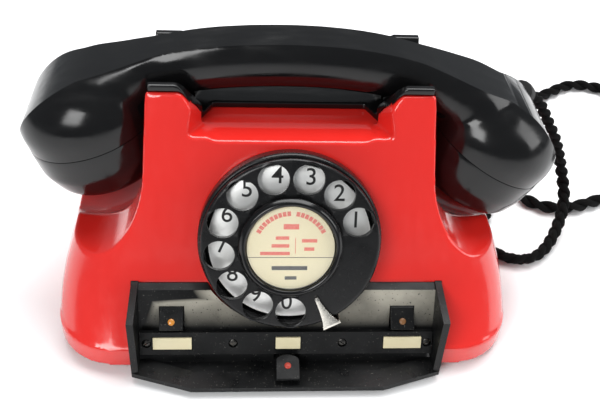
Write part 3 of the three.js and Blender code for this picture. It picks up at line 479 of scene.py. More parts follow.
def make_looks():
    red = Look("red_case", (0.79, 0.025, 0.019), 0.2, Coat_Weight=0.5, Coat_Roughness=0.06)
    red.tint(red.band(red.pattern(18), 0.35, 0.75, 0, 0.35), (0.60, 0.018, 0.014))
    red.tint(red.band(red.pattern(900, 2), 0.74, 0.8, 0, 0.25), (0.85, 0.12, 0.1))
    red.roughen(red.pattern(260, 5, (1, 1, 0.15)), 0.12, 0.24)
    red.bump(red.pattern(45, 3), 0.00012).bump(red.pattern(1400, 2), 0.000008)

    black = Look("black_moulding", (0.004, 0.004, 0.0043), 0.12, Specular_IOR_Level=0.4)
    black.tint(black.band(black.pattern(60, 6), 0.55, 0.8, 0, 0.5), (0.008, 0.0078, 0.0075))
    black.roughen(black.pattern(180, 6, (0.3, 1, 1)), 0.08, 0.26)
    black.bump(black.pattern(60, 2), 0.00008).bump(black.pattern(1600, 2), 0.000006)

    dial = Look("dial_black", (0.006, 0.006, 0.0064), 0.25, Specular_IOR_Level=0.3)
    dial.tint(dial.band(dial.pattern(700, 3), 0.62, 0.78, 0, 0.6), (0.03, 0.03, 0.029))
    dial.roughen(dial.pattern(150, 5), 0.18, 0.36)
    dial.bump(dial.pattern(1500, 2), 0.00001)

    satin = Look("satin_black", (0.005, 0.0053, 0.0056), 0.34, Specular_IOR_Level=0.2)
    satin.tint(satin.band(satin.pattern(90, 6), 0.45, 0.75, 0, 0.5), (0.012, 0.012, 0.0115))
    satin.tint(satin.band(satin.pattern(1500, 1), 0.72, 0.76, 0, 0.6), (0.2, 0.19, 0.17))
    satin.roughen(satin.pattern(120, 5), 0.24, 0.46)
    satin.bump(satin.pattern(900, 3), 0.00003)

    tray = Look("tray_black", (0.005, 0.0053, 0.0056), 0.34, Specular_IOR_Level=0.2)
    tray.tint(tray.band(tray.pattern(90, 6), 0.45, 0.75, 0, 0.5), (0.012, 0.012, 0.0115))
    # Painted reflection with some dust: where the tray's panel faces forward and up along the face's lean
    # and stands above 19 mm, it is lightened to grey-buff, broken up by noise, in place of the bright
    # surroundings it would reflect.
    dusty = tray.both(tray.band(tray.facing((0, -0.9317, 0.3633)), 0.97, 0.99),
                      tray.both(tray.band(tray.height(), 0.019, 0.034),
                                tray.band(tray.pattern(38, 4), 0.35, 0.6, 0.45, 1)))
    tray.tint(dusty, (0.5, 0.47, 0.39))
    tray.tint(tray.band(tray.pattern(1100, 1), 0.68, 0.74, 0, 0.8), (0.008, 0.008, 0.008))
    tray.tint(tray.band(tray.pattern(1500, 1), 0.72, 0.76, 0, 0.6), (0.2, 0.19, 0.17))
    tray.roughen(tray.pattern(120, 5), 0.24, 0.46)
    tray.bump(tray.pattern(900, 3), 0.00003)

    rubber = Look("rubber", (0.018, 0.018, 0.018), 0.7)
    rubber.tint(rubber.band(rubber.pattern(200, 5), 0.5, 0.8, 0, 0.6), (0.05, 0.05, 0.048))
    rubber.bump(rubber.pattern(1200, 3), 0.00003)

    nickel = Look("nickel", (0.78, 0.75, 0.68), 0.28, Metallic=1.0)
    nickel.tint(nickel.band(nickel.pattern(300, 4), 0.5, 0.8, 0, 0.3), (0.6, 0.54, 0.44))
    nickel.roughen(nickel.pattern(900, 4), 0.14, 0.34)
    nickel.bump(nickel.pattern(1800, 2), 0.00001)

    silver = Look("number_silver", (0.78, 0.78, 0.76), 0.38, Metallic=0.55, Anisotropic=0.6)
    silver.tint(silver.band(silver.pattern(120, 5), 0.5, 0.8, 0, 0.35), (0.55, 0.53, 0.48))
    silver.roughen(silver.pattern(700, 3), 0.3, 0.46)

    ink = Look("ink", (0.006, 0.006, 0.006), 0.5)
    ink.tint(ink.band(ink.pattern(1500, 2), 0.6, 0.8, 0, 0.4), (0.05, 0.05, 0.05))
    red_ink = Look("red_ink", (0.72, 0.11, 0.07), 0.5)
    red_ink.tint(red_ink.band(red_ink.pattern(1300, 2), 0.5, 0.8, 0, 0.5), (0.85, 0.35, 0.22))

    card = Look("card", (0.80, 0.71, 0.45), 0.5, Coat_Weight=0.2, Coat_Roughness=0.08)
    card.tint(card.band(card.pattern(60, 4), 0.4, 0.75, 0, 0.5), (0.84, 0.77, 0.54))
    card.tint(card.band(card.pattern(900, 3), 0.66, 0.8, 0, 0.35), (0.7, 0.58, 0.34))
    card.bump(card.pattern(1500, 3), 0.00001)

    cover = Look("clear_cover", (1, 1, 0.98), 0.03, Alpha=0.07, Coat_Weight=1.0, Coat_Roughness=0.02)
    cover.bump(cover.pattern(70, 2), 0.00003)

    steel = Look("steel", (0.5, 0.5, 0.5), 0.35, Metallic=1.0)
    steel.tint(steel.band(steel.pattern(300, 6), 0.5, 0.8, 0, 0.7), (0.22, 0.19, 0.16))
    steel.roughen(steel.pattern(800, 3, (1, 1, 0.1)), 0.25, 0.5)

    screw = Look("dark_screw", (0.06, 0.058, 0.055), 0.3, Metallic=1.0)
    screw.tint(screw.band(screw.pattern(900, 4), 0.55, 0.75, 0, 0.6), (0.2, 0.17, 0.13))

    brass = Look("brass", (0.72, 0.5, 0.2), 0.28, Metallic=1.0)
    brass.tint(brass.band(brass.pattern(200, 6), 0.5, 0.8, 0, 0.6), (0.4, 0.24, 0.09))
    brass.roughen(brass.pattern(700, 4), 0.2, 0.42)

    copper = Look("winding", (0.42, 0.13, 0.05), 0.35, Metallic=0.3)
    copper.bump(copper.pattern(900, 0, (0, 0, 1), "ShaderNodeTexWave"), 0.0002)

    amber = Look("amber_dot", (0.62, 0.24, 0.03), 0.3, Coat_Weight=0.4)
    amber.tint(amber.band(amber.pattern(1200, 3), 0.5, 0.75, 0, 0.5), (0.4, 0.13, 0.02))
    brown = Look("brown_dot", (0.2, 0.09, 0.03), 0.4)
    brown.tint(brown.band(brown.pattern(1200, 3), 0.5, 0.75, 0, 0.5), (0.1, 0.04, 0.02))
    red_dot = Look("red_dot", (0.5, 0.05, 0.03), 0.4)
    red_dot.tint(red_dot.band(red_dot.pattern(1200, 3), 0.5, 0.75, 0, 0.5), (0.25, 0.03, 0.02))

    cotton = Look("black_cotton", (0.005, 0.005, 0.005), 0.8, Specular_IOR_Level=0.15)
    cotton.tint(cotton.band(cotton.pattern(2200, 3), 0.55, 0.75, 0, 0.6), (0.014, 0.0135, 0.013))
    rising = cotton.pattern(1, 0, (900, 3, 1), "ShaderNodeTexWave", "UV")
    falling = cotton.pattern(1, 0, (900, -3, 1), "ShaderNodeTexWave", "UV")
    cotton.bump(rising, 0.00025, 0.7).bump(falling, 0.00025, 0.7)

    floor = Look("floor", (0.95, 0.95, 0.95), 0.6)
    floor.tint(floor.band(floor.pattern(6, 3), 0.4, 0.7, 0, 0.3), (0.93, 0.93, 0.935))
    return {name: look.material for name, look in locals().items() if isinstance(look, Look)}


LOOKS = make_looks()


# ------------------------------------------------------------------ cords
def frames_along(line):
    """A side and an up direction at each point, turning as little as possible."""
    tangents = [(b - a).normalized() for a, b in zip(line, line[1:])]
    tangents.append(tangents[-1])
    side = tangents[0].cross(Vector((0, 0, 1))).normalized()
    made = []
    for tangent in tangents:
        side = (side - tangent * side.dot(tangent)).normalized()
        made.append((side, tangent.cross(side)))
    return made


def evenly(line, step):
    """Points a step apart along the line."""
    made, left = [line[0]], step
    for a, b in zip(line, line[1:]):
        span = (b - a).length
        along = left
        while along <= span:
            made.append(a.lerp(b, along / span))
            along += step
        left = along - span
    if (made[-1] - line[-1]).length > step * 0.3:
        made.append(line[-1])
    return made


def strands(line, offsets, radius, pitch, step=1.3, sides=10):
    """Strands wound along a line: offsets gives each strand's place across it at a phase."""
    line = evenly(line, step)
    frames = frames_along(line)
    points, faces, uvs = [], [], []
    for offset in offsets:
        centres = []
        for number, (point, (side, up)) in enumerate(zip(line, frames)):
            a, b = offset(2 * math.pi * number * step / pitch)
            centres.append(point + side * a + up * b)
        base = len(points)
        own = frames_along(centres)
        for number, (centre, (side, up)) in enumerate(zip(centres, own)):
            ends = min(number, len(centres) - 1 - number)
            around = radius * (0.55 if ends == 0 else 1)
            for k in range(sides):
                angle = 2 * math.pi * k / sides
                points.append(centre + (side * math.cos(angle) + up * math.sin(angle)) * around)
                uvs.append((number * step * MM, k / sides))
        for number in range(len(centres) - 1):
            for k in range(sides):
                after = (k + 1) % sides
                row = base + number * sides
                faces.append([row + k, row + after, row + sides + after, row + sides + k])
        faces.append([base + k for k in range(sides)][::-1])
        faces.append([base + (len(centres) - 1) * sides + k for k in range(sides)])
    obj = mesh_object("strands", points, faces)
    layer = obj.data.uv_layers.new(name="along")
    for loop in obj.data.loops:
        layer.data[loop.index].uv = uvs[loop.vertex_index]
    return obj


def plait(line):
    """Three strands plaited flat."""
    def strand(turn):
        return lambda t: (1.75 * math.sin(t + turn), 1.1 * math.sin(2 * (t + turn)))
    return strands(line, [strand(2 * math.pi * k / 3) for k in range(3)], 1.75, 19)


def twist(line):
    """Two strands laid round each other."""
    def strand(turn):
        return lambda t: (1.65 * math.cos(t + turn), 1.65 * math.sin(t + turn))
    return strands(line, [strand(0), strand(math.pi)], 1.85, 20)


def coil_turns():
    """Turns of the put-away length: an outer and an inner ring below, then the same above."""
    rows = [("outer", FLOOR_LINE), ("inner", FLOOR_LINE), ("inner", FLOOR_LINE + CORD + 0.2),
            ("outer", FLOOR_LINE + CORD + 0.2)]
    start, end = (math.atan2(y - COIL["y"], x - COIL["x"]) for x, y, _ in (LINE_CORD[-1], LINE_TAIL[0]))
    total = 2 * math.pi * len(rows) + (end - start) % (2 * math.pi)
    steps = 24 * len(rows)
    made = []
    for step in range(1, steps):
        turn = total * step / steps
        place = min(turn / total * len(rows), len(rows) - 1e-6)
        row, share = int(place), place % 1
        blend = max(0.0, (share - 0.72) / 0.28) if row < len(rows) - 1 else 0.0
        blend = blend * blend * (3 - 2 * blend)
        after = rows[min(row + 1, len(rows) - 1)]
        radius = COIL[rows[row][0]] * (1 - blend) + COIL[after[0]] * blend
        height = rows[row][1] * (1 - blend) + after[1] * blend
        made.append((COIL["x"] + radius * math.cos(start + turn),
                     COIL["y"] + radius * math.sin(start + turn), height))
    return made


def in_row_frame(point):
    return tuple((PHONE @ Vector(point)) * MM)


def length_of(line):
    return sum((b - a).length for a, b in zip(line, line[1:])) * MM


def make_cords():
    handset_line = smooth_line(HANDSET_CORD)
    whole = smooth_line(LINE_CORD + tuple(coil_turns()) + LINE_TAIL)
    handset = piece(plait(handset_line), "handset_cord_plait", LOOKS["cotton"], "root", ["handset_cord"],
                    "cotton_cord")
    line = piece(twist(whole), "line_cord_twist", LOOKS["cotton"], "root",
                 ["line_cord", "line_cord_tail", "line_cord_coil"], "cotton_cord")


make_cords()


# ------------------------------------------------------------------ case
def face_y(z):
    return FACE_TOP_Y - (FACE_TOP_Z - z) * math.tan(LEAN)


def case_section(z):
    """Half width, front, rear and corner radius of the case at one height."""
    if z <= PLINTH_TOP:
        return PLINTH_HALF_WIDTH, PLINTH_FRONT, PLINTH_REAR, PLAN_CORNER
    share = max((FLARE_TOP - z) / (FLARE_TOP - PLINTH_TOP), 0)
    flare = share ** 2
    rear = REAR_TOP_Y + (FACE_TOP_Z - z) * REAR_SLOPE
    rear_flare = PLINTH_REAR - 0.6 - (REAR_TOP_Y + (FACE_TOP_Z - PLINTH_TOP) * REAR_SLOPE)
    front_flare = face_y(PLINTH_TOP) - (PLINTH_FRONT + 0.6)
    if share:
        half = FLARE_HALF_WIDTH + FLARE_REACH * math.sin(share * math.pi / 2)
    else:
        half = FLARE_HALF_WIDTH - (z - FLARE_TOP) * 0.25
    return half, face_y(z) - front_flare * flare, rear + rear_flare * flare, 24 + 4 * share


def rounded_rectangle(section, inset, z, steps=14):
    half, front, rear, corner = section
    half, front, rear = half - inset, front + inset, rear - inset
    radius = max(corner - inset, 4)
    centres = [(half - radius, rear - radius), (radius - half, rear - radius),
               (radius - half, front + radius), (half - radius, front + radius)]
    return [
        (x + radius * math.cos((quarter + step / steps) * math.pi / 2),
         y + radius * math.sin((quarter + step / steps) * math.pi / 2), z)
        for quarter, (x, y) in enumerate(centres)
        for step in range(steps + 1)
    ]


def scoop(grow):
    outline = [(TOWER_HALF_WIDTH - grow, 130), (TOWER_HALF_WIDTH - grow, FACE_TOP_Z)]
    for step in range(25):
        angle = math.pi + step / 24 * math.pi / 2
        outline.append((SCOOP_X + (SCOOP_RX + grow) * math.cos(angle),
                        SCOOP_Z + (SCOOP_RZ + grow) * math.sin(angle)))
    outline += [(130, SCOOP_Z - SCOOP_RZ - grow), (130, 130)]
    return prism(outline, -120, 120, "XZ")


def waist(grow):
    radius, depth = WAIST_RADIUS + grow, WAIST_DEPTH + grow
    angles = [step / 16 * math.pi / 2 for step in range(17)]
    profile = [(radius * math.sin(angle), WAIST_Z - depth * math.cos(angle)) for angle in angles]
    profile += [(radius, 130), (0, 130)]
    return move(turned(profile, 72), Matrix.Translation((WAIST_X, AXIS_Y, 0)))


def saddle(shift, base, low=-120, high=120):
    """What lies under the curve of the saddle and the horns; shift moves the curve down."""
    top, floor = HORN_TOP - shift, SADDLE_TOP + 0.8 - shift
    inner, foot = HORN_INNER_X - shift / 3, SADDLE_X - shift / 3
    outline = [(-130, base), (130, base), (130, top)]
    outline += bezier((inner + 1, top), (inner - 4, top), (foot + 6, floor), (foot - 2, floor))
    outline += bezier((2 - foot, floor), (-foot - 6, floor), (4 - inner, top), (-inner - 1, top))
    outline += [(-130, top)]
    return prism(outline, low, high, "XZ")


def channel(grow):
    """The channel for the grip, its sides leaning outwards above the bend."""
    lean = (CHANNEL_LIP - CHANNEL_HALF) / (HORN_TOP - CHANNEL_BEND)
    slant = math.sqrt(1 + lean * lean)
    half, low = CHANNEL_HALF + grow, SADDLE_TOP - grow
    bend = CHANNEL_BEND - grow * (slant - 1) / lean
    wide = half + (130 - bend) * lean
    return prism([(AXIS_Y - half, low), (AXIS_Y + half, low), (AXIS_Y + half, bend), (AXIS_Y + wide, 130),
                  (AXIS_Y - wide, 130), (AXIS_Y - half, bend)], -80, 80, "YZ")


def trough(grow):
    front, back = -40, -3.5 + grow
    plan = prism([(-48 - grow, front), (48 + grow, front), (33 + grow, back), (-33 - grow, back)], 80, 130)
    floor = SADDLE_TOP - MOULDING - GAP - 0.05 - grow
    outline = [(front, floor + 4.4), (-14.3, floor), (grow, floor), (grow, 130), (front, 130)]
    side = prism(outline, -60, 60, "YZ")
    return combine(plan, side, "INTERSECT")


def case_body(inset):
    heights = [CASE_BOTTOM - (1 if inset else 0), PLINTH_TOP, PLINTH_TOP + 0.05,
               14, 15.5, 17, 19, 21, 23, 25, 27.5, 30, 33, 36, 39, 42, 45, FLARE_TOP, 80, 118]
    body = loft([rounded_rectangle(case_section(z), inset, z) for z in heights])
    combine(body, both_sides(scoop(inset)))
    combine(body, both_sides(waist(inset)))
    combine(body, saddle(MOULDING + GAP + inset, -5), "INTERSECT")
    combine(body, channel(MOULDING + GAP + inset))
    return combine(body, trough(inset))


def windows(grow):
    x0, x1 = 45.4 - grow, 56.4 + grow
    made = both_sides(box(x0, x1, -104.2 - grow, -93.2 + grow, -8, 8))
    return move(made, PHONE.inverted() @ FACE)


def on_face(obj, local=Matrix()):
    """A solid drawn in the face's frame, moved into the phone's."""
    return move(obj, PHONE.inverted() @ FACE @ local)


def make_case():
    upright = Matrix.Rotation(LEAN, 4, "X")
    shell = move(case_body(0), upright)
    soften(shell, 0.9, 5)
    move(shell, upright.inverted())
    combine(shell, case_body(WALL))
    to_dial = Matrix.Translation((0, -DIAL_DOWN, 0))
    combine(shell, on_face(disc(35.2, -12, 6), to_dial))
    combine(shell, on_face(disc(39.6, 0, 12, 96), to_dial))
    top_edge = FACE_TOP_Z - (TRAY_TOP_DOWN - GAP) * math.cos(LEAN)
    half = TRAY_HALF + GAP
    pocket = prism([(face_y(50), 50), (-110, 50), (-110, -1), (face_y(-1), -1)], -half, half, "YZ")
    combine(pocket, box(-half, half, -110, 0, -1, top_edge), "INTERSECT")
    combine(shell, pocket)
    combine(shell, windows(1.5))
    for x in (-PLUNGER_X, PLUNGER_X):
        combine(shell, move(disc(PLUNGER_RADIUS + 1, 85, 100, 32), Matrix.Translation((x, AXIS_Y, 0))))
    for x in CORD_EXITS.values():
        turn = Matrix.Translation((x, 70, CORD_EXIT_Z)) @ Matrix.Rotation(-math.pi / 2, 4, "X")
        combine(shell, move(disc(5.5, 0, 25, 32), turn))
    piece(shell, "shell", LOOKS["red"], "root", ["case_shell"], "case_red", sharp=50)


def make_cradle():
    within = box(1 - TOWER_HALF_WIDTH, TOWER_HALF_WIDTH - 1, -60, 60, 80, HORN_TOP)
    cradle = combine(channel(MOULDING), copy_of(within), "INTERSECT")
    combine(cradle, saddle(0, -5, -60, 60), "INTERSECT")
    ears = saddle(0, -5, FACE_TOP_Y + 0.7, REAR_TOP_Y - 0.7)
    combine(ears, saddle(MOULDING, -10, -60, 60))
    combine(ears, within, "INTERSECT")
    combine(cradle, ears, "UNION")
    combine(cradle, channel(0))
    plan = prism([(-62, 30), (62, 30), (62, -30), (46.5, -30), (33 + GAP, -3.2), (-33 - GAP, -3.2),
                  (-46.5, -30), (-62, -30)], 80, 130)
    combine(cradle, plan, "INTERSECT")
    combine(cradle, both_sides(waist(-0.2)))
    soften(cradle, 0.6, 3)
    for x in (-PLUNGER_X, PLUNGER_X):
        combine(cradle, move(disc(PLUNGER_RADIUS + 0.5, 85, 110, 32), Matrix.Translation((x, AXIS_Y, 0))))
    piece(cradle, "cradle_moulding", LOOKS["black"], "root", ["cradle"], "bakelite_black", sharp=50)
    for side, x in (("left", -PLUNGER_X), ("right", PLUNGER_X)):
        profile = [(0, 62), (PLUNGER_RADIUS, 62), (PLUNGER_RADIUS, SADDLE_TOP - 0.8),
                   (PLUNGER_RADIUS - 1, SADDLE_TOP + 0.1), (0, SADDLE_TOP + 0.1)]
        pin = move(turned(filleted(profile, 0.6), 32), Matrix.Translation((x, AXIS_Y, 0)))
        piece(pin, f"plunger_pin_{side}", LOOKS["black"], f"plunger_{side}", [f"hook_plunger_{side}"],
              "bakelite_black")


make_case()
make_cradle()


# ------------------------------------------------------------------ dial
def text_solid(word, height, thickness):
    curve = bpy.data.curves.new("figure", "FONT")
    curve.body = word
    curve.size = height / CAPITAL_SHARE
    curve.align_x, curve.align_y = "CENTER", "CENTER"
    curve.extrude = thickness / 2
    curve.offset = 0.04
    curve.resolution_u = 8
    holder = bpy.data.objects.new("figure", curve)
    bpy.context.scene.collection.objects.link(holder)
    bpy.context.view_layer.update()
    graph = bpy.context.evaluated_depsgraph_get()
    data = bpy.data.meshes.new_from_object(holder.evaluated_get(graph))
    bpy.data.objects.remove(holder)
    bpy.data.curves.remove(curve)
    obj = bpy.data.objects.new("figure", data)
    bpy.context.scene.collection.objects.link(obj)
    return obj


def hole_places():
    for number in range(10):
        angle = math.radians(FIRST_HOLE + number * HOLE_PITCH)
        x, y = HOLE_CIRCLE * math.cos(angle), HOLE_CIRCLE * math.sin(angle)
        yield number, angle, Matrix.Translation((x, y, 0))


def make_finger_wheel():
    low = PLATE_TOP - PLATE_THICKNESS
    profile = [(0, low), (PLATE_RADIUS - 0.4, low), (PLATE_RADIUS, low + 0.4),
               (PLATE_RADIUS, PLATE_TOP - 0.9), (PLATE_RADIUS - 1.1, PLATE_TOP), (0, PLATE_TOP - 0.15)]
    plate = turned(filleted(profile, 0.9, 4), 144)
    rims = []
    for _, _, place in hole_places():
        combine(plate, move(disc(HOLE_RADIUS + 0.3, 0, 20, 56), place))
        rim = [(HOLE_RADIUS, low + 0.1), (HOLE_RADIUS, PLATE_TOP - 0.35),
               (HOLE_RADIUS + 0.45, PLATE_TOP - 0.05), (HOLE_RADIUS + 1.05, PLATE_TOP - 0.3),
               (HOLE_RADIUS + 1.05, low + 0.1), (HOLE_RADIUS, low + 0.1)]
        rims.append(move(turned(rim, 56), place))
    for rim in rims:
        combine(plate, rim, "UNION")
    piece(plate, "finger_plate", LOOKS["dial"], "dial", ["finger_wheel"], "bakelite_black", DIAL, 35)


def make_number_ring():
    ring = [(21, 4.5), (34.6, 4.5), (34.6, 7.1), (34.3, 7.3), (21, 7.3), (21, 4.5)]
    piece(turned(ring, 144), "numbers_ring", LOOKS["silver"], "root", ["number_ring"], "silver_ring", DIAL)
    figures = []
    for number, angle, _ in hole_places():
        turn = angle - math.radians(3)
        x, y = FIGURE_CIRCLE * math.cos(turn), FIGURE_CIRCLE * math.sin(turn) + FIGURE_LIFT
        figure = text_solid(str((number + 1) % 10), FIGURE_HEIGHT, 0.08)
        figures.append(move(figure, Matrix.Translation((x, y, 7.33))))
    piece(joined(figures, "figures"), "figures", LOOKS["ink"], "root", (), None, DIAL)


def make_dial_case():
    profile = [(5, 1.5), (34.9, 1.5), (34.9, 0.4), (39.2, 0.4), (39.2, 7.0), (38.5, 8.2), (36.4, 8.2),
               (36.0, 7.4), (36.0, 4.2), (5, 4.2), (5, 1.5)]
    case = turned(filleted(profile, 0.5), 144)
    low = turned([(5, -13.6), (32.5, -13.6), (32.5, -11.8), (5, -11.8), (5, -13.6)], 72)
    places = [Matrix.Rotation(math.radians(angle), 4, "Z") @ Matrix.Translation((30, 0, 0))
              for angle in (60, 180, 300)]
    posts = [move(disc(2.2, -12, 2, 20), place) for place in places]
    piece(joined([case, low, *posts], "dial_housing"), "dial_housing", LOOKS["dial"], "root", ["dial_case"],
          "bakelite_black", DIAL)


def bar(x, y, length, height, turn=0.0):
    """A printed bar lying on the card."""
    made = box(-length / 2, length / 2, -height / 2, height / 2, PRINT_LOW, PRINT_HIGH)
    return move(made, Matrix.Translation((x, y, 0)) @ Matrix.Rotation(turn, 4, "Z"))


def make_card():
    ring = [(CARD_RADIUS + 0.4, PLATE_TOP + GAP), (22, PLATE_TOP + GAP), (22, 14.6), (21.2, 15.6),
            (20.4, 16.4), (19.6, 16.4), (18.8, 15.8), (CARD_RADIUS + 0.4, PLATE_TOP + GAP)]
    piece(turned(filleted(ring, 0.5), 120), "card_bezel", LOOKS["black"], "dial", ["card_ring"],
          "bakelite_black", DIAL)
    card = [(0, PLATE_TOP + GAP), (CARD_RADIUS, PLATE_TOP + GAP), (CARD_RADIUS, 14.2), (0, 14.2)]
    piece(turned(filleted(card, 0.1), 96), "card_disc", LOOKS["card"], "dial", ["dial_card"],
          "card_cream", DIAL)
    cover = [(0, 14.6), (CARD_RADIUS, 14.6), (CARD_RADIUS, 15.1), (15, 15.3), (8, 15.4), (0, 15.4)]
    piece(turned(filleted(cover, 0.15), 96), "card_window", LOOKS["cover"], "dial", ["card_cover"],
          "clear_cover", DIAL)
    angles = [math.radians(30 + 7.1 * k) for k in range(18) if k != ARC_GAP]
    arc = [bar(15.3 * math.cos(a), 15.3 * math.sin(a), 1.5, 2.0, a - math.pi / 2) for a in angles]
    lines = [bar(0, 9.6, 6.4, 2.3), bar(-3.6, 4.6, 5.6, 1.5), bar(-4.4, 1.1, 7.4, 1.5),
             bar(-6.6, -2.3, 12.4, 1.5), bar(7.7, 3.4, 6.4, 1.5), bar(7.7, -0.3, 4.2, 1.5),
             bar(1.9, 1.2, 0.25, 7)]
    piece(joined(arc + lines, "card_red"), "card_red_lines", LOOKS["red_ink"], "dial", (), None, DIAL)
    rule = bar(0, -4.1, 35.6, 0.25)
    dark = [rule, bar(-0.4, -8.9, 15, 1.8), bar(0.2, -13.4, 5, 1.5)]
    piece(joined(dark, "card_dark"), "card_dark_lines", LOOKS["ink"], "dial", (), None, DIAL)


def make_finger_stop():
    upper = bezier((25.6, 0.9), (31, 1.2), (36, 2.2), (40.8, 5.2), 10)
    lower = bezier((40.8, -3.2), (38, -1.8), (33, -1.0), (25.6, -0.6), 10)
    arm = prism(upper + lower, PLATE_TOP + 0.35, PLATE_TOP + 1.5)
    leg = box(39.6, 40.8, -3, 5, 0.5, PLATE_TOP + 1)
    stop = bevelled(combine(arm, leg, "UNION"), 0.3, 40)
    move(stop, Matrix.Rotation(math.radians(STOP_ANGLE), 4, "Z"))
    piece(stop, "stop_hook", LOOKS["nickel"], "root", ["finger_stop"], "nickel", DIAL)


make_finger_wheel()
make_number_ring()
make_dial_case()
make_card()
make_finger_stop()


# ------------------------------------------------------------------ handset
def back_heights():
    return smooth_line([(x, z, 0) for x, z in BACK_LINE], 10)


def back_height(x):
    line = [p for p in back_heights() if p.y > 70]
    for a, b in zip(line, line[1:]):
        if a.x <= x <= b.x:
            return a.y + (b.y - a.y) * (x - a.x) / (b.x - a.x)
    raise ValueError(x)


def grip():
    section = [(0.62, 1), (0.86, 0.8), (0.98, 0.58), (0.98, 0.42), (0.84, 0.2), (0.5, 0.05), (0.15, 0)]
    outline = section + [(-w, h) for w, h in reversed(section)]
    loop = smooth_line([(w, h, 0) for w, h in outline], 4)
    rings = []
    for x in range(-102, 103, 3):
        spread = min(max(abs(x) - 56, 0) / 28, 1)
        past = max(abs(x) - 84, 0) / 22
        half, height = (12.7 + 8 * spread) * math.sqrt(1 - past * past), 23 + 4 * spread
        top, bottom = back_height(x) + 1.5, back_height(x) - height
        rings.append([(x, AXIS_Y + p.x * half, bottom + p.y * (top - bottom)) for p in loop])
    return loft(rings)


def about_seam(end, obj):
    turn = Matrix.Rotation(math.radians(-end["tilt"]), 4, "Y")
    return move(obj, Matrix.Translation((end["x"], AXIS_Y, end["z"])) @ turn)


def dome(end, tall):
    r = end["radius"]
    profile = [(0, -4), (r, -4), (r, 0), (r + 0.4, 6)]
    profile += [((r + 0.4) * math.cos(k / 20 * math.pi / 2), 6 + (tall - 6) * math.sin(k / 20 * math.pi / 2))
                for k in range(1, 20)]
    return about_seam(end, turned(profile + [(0, tall)], 96))


def bell(end):
    """The end's round dome, with the handset's spine running over it."""
    within = box(-140, 140, AXIS_Y - SPINE_HALF, AXIS_Y + SPINE_HALF, 30, 140)
    spine = combine(dome(end, SPINE_HEIGHT), within, "INTERSECT")
    return combine(spine, dome(end, end["dome"]), "UNION")


def back_solid():
    outline = [(-112, 40)] + [(p.x, p.y) for p in back_heights()] + [(112, 40)]
    return prism(outline, -60, 60, "XZ")


def make_handle():
    handle = joined([grip(), bell(EAR), bell(MOUTH)], "handle")
    soften(handle, 1.0, 40)
    combine(handle, back_solid(), "INTERSECT")
    for end in (EAR, MOUTH):
        combine(handle, about_seam(end, disc(60, -80, 0, 64)))
        combine(handle, about_seam(end, disc(26, -1, 9, 64)))
    piece(handle, "handle", LOOKS["black"], "handset", ["handset_handle"], "bakelite_black", sharp=24)


def make_cap(name, node, end, hole):
    radius, depth, rim = end["radius"], end["depth"], end["rim"]
    outside = [(radius, -GAP), (radius + 0.1, -1.6), (radius - 0.4, -depth * 0.5), (rim + 1.2, -depth + 3),
               (rim - 1.4, -depth), (rim - 6, -depth + 0.6)]
    inside = [(0, -depth + 2), (0, -depth + 5), (rim - 6, -depth + 4), (radius - 3.4, -GAP), (radius, -GAP)]
    cap = turned(filleted(outside, 2.2, 5) + [Vector(p) for p in inside], 96)
    for number in range(7):
        reach = 0 if number == 6 else 11
        angle = number * math.pi / 3
        place = Matrix.Translation((reach * math.cos(angle), reach * math.sin(angle), 0))
        combine(cap, move(disc(hole, -30, 0, 24), place))
    piece(about_seam(end, cap), name, LOOKS["black"], "handset", [node], "bakelite_black", sharp=35)


make_handle()
make_cap("ear_cap", "earpiece_cap", EAR, 3)
make_cap("mouth_cap", "mouthpiece_cap", MOUTH, 2.4)


# ------------------------------------------------------------------ tray, keys, small parts
def make_tray():
    dress("key_tray", LOOKS["tray"], 0.5)
    for node in ("label_strip", "key_left", "key_right", "key_centre"):
        dress(node, LOOKS["satin"], 0.5)
    for node in ("label_left", "label_centre", "label_right"):
        dress(node, LOOKS["card"], 0.15)
    for number, x in enumerate(SCREWS):
        profile = [(0, 0.8), (1.1, 0.8), (1.1, STRIP_FRONT - 1.3), (1.8, STRIP_FRONT - 1.3),
                   (1.8, STRIP_FRONT - 0.5), (1.2, STRIP_FRONT - 0.2), (0, STRIP_FRONT - 0.1)]
        screw = turned(filleted(profile, 0.25), 32)
        combine(screw, box(-3, 3, -0.3, 0.3, STRIP_FRONT - 0.7, 9))
        move(screw, Matrix.Translation((x, -STRIP_MIDDLE, 0)) @ Matrix.Rotation(0.6 + number, 4, "Z"))
        piece(screw, f"screw_{number + 1}", LOOKS["screw"], "root", [f"tray_screw_{number + 1}"], "steel",
              FACE)


def make_dots():
    lens = [(0, 0), (1.5, 0), (1.5, 0.25), (1.0, 0.55), (0, 0.7)]
    tilt = Matrix.Rotation(math.radians(-32), 4, "X")
    for side, x, look in (("left", -50.9, "amber"), ("right", 50.9, "brown")):
        place = Matrix.Translation((x, -94.9, 2.4)) @ tilt @ Matrix.Translation((0, -6, 1.2))
        dot = move(turned(filleted(lens, 0.3), 32), place)
        piece(dot, f"dot_{side}", LOOKS[look], f"key_{side}", (), None, FACE)
    place = Matrix.Translation((0, -71.3, 10.6)) @ Matrix.Rotation(math.radians(16), 4, "X")
    place = place @ Matrix.Translation((0, -5.6, 1.1))
    piece(move(turned(filleted(lens, 0.3), 32), place), "dot_centre", LOOKS["red_dot"], "key_centre")


def make_bushes():
    profile = [(0, -8), (5, -8), (5, 0), (8, 0), (8, 2.6), (5.6, 3.4), (5.4, 6), (4.9, 15), (4.4, 24),
               (0, 24)]
    for name, x in CORD_EXITS.items():
        node = "line_cord_bush" if name == "line" else "handset_cord_inlet"
        bush = turned(filleted(profile, 0.4), 48)
        turn = Matrix.Rotation(-math.pi / 2, 4, "X")
        move(bush, Matrix.Translation((x, PLINTH_REAR + GAP, CORD_EXIT_Z)) @ turn)
        piece(bush, f"{name}_bush", LOOKS["rubber"], "root", [node], "rubber")


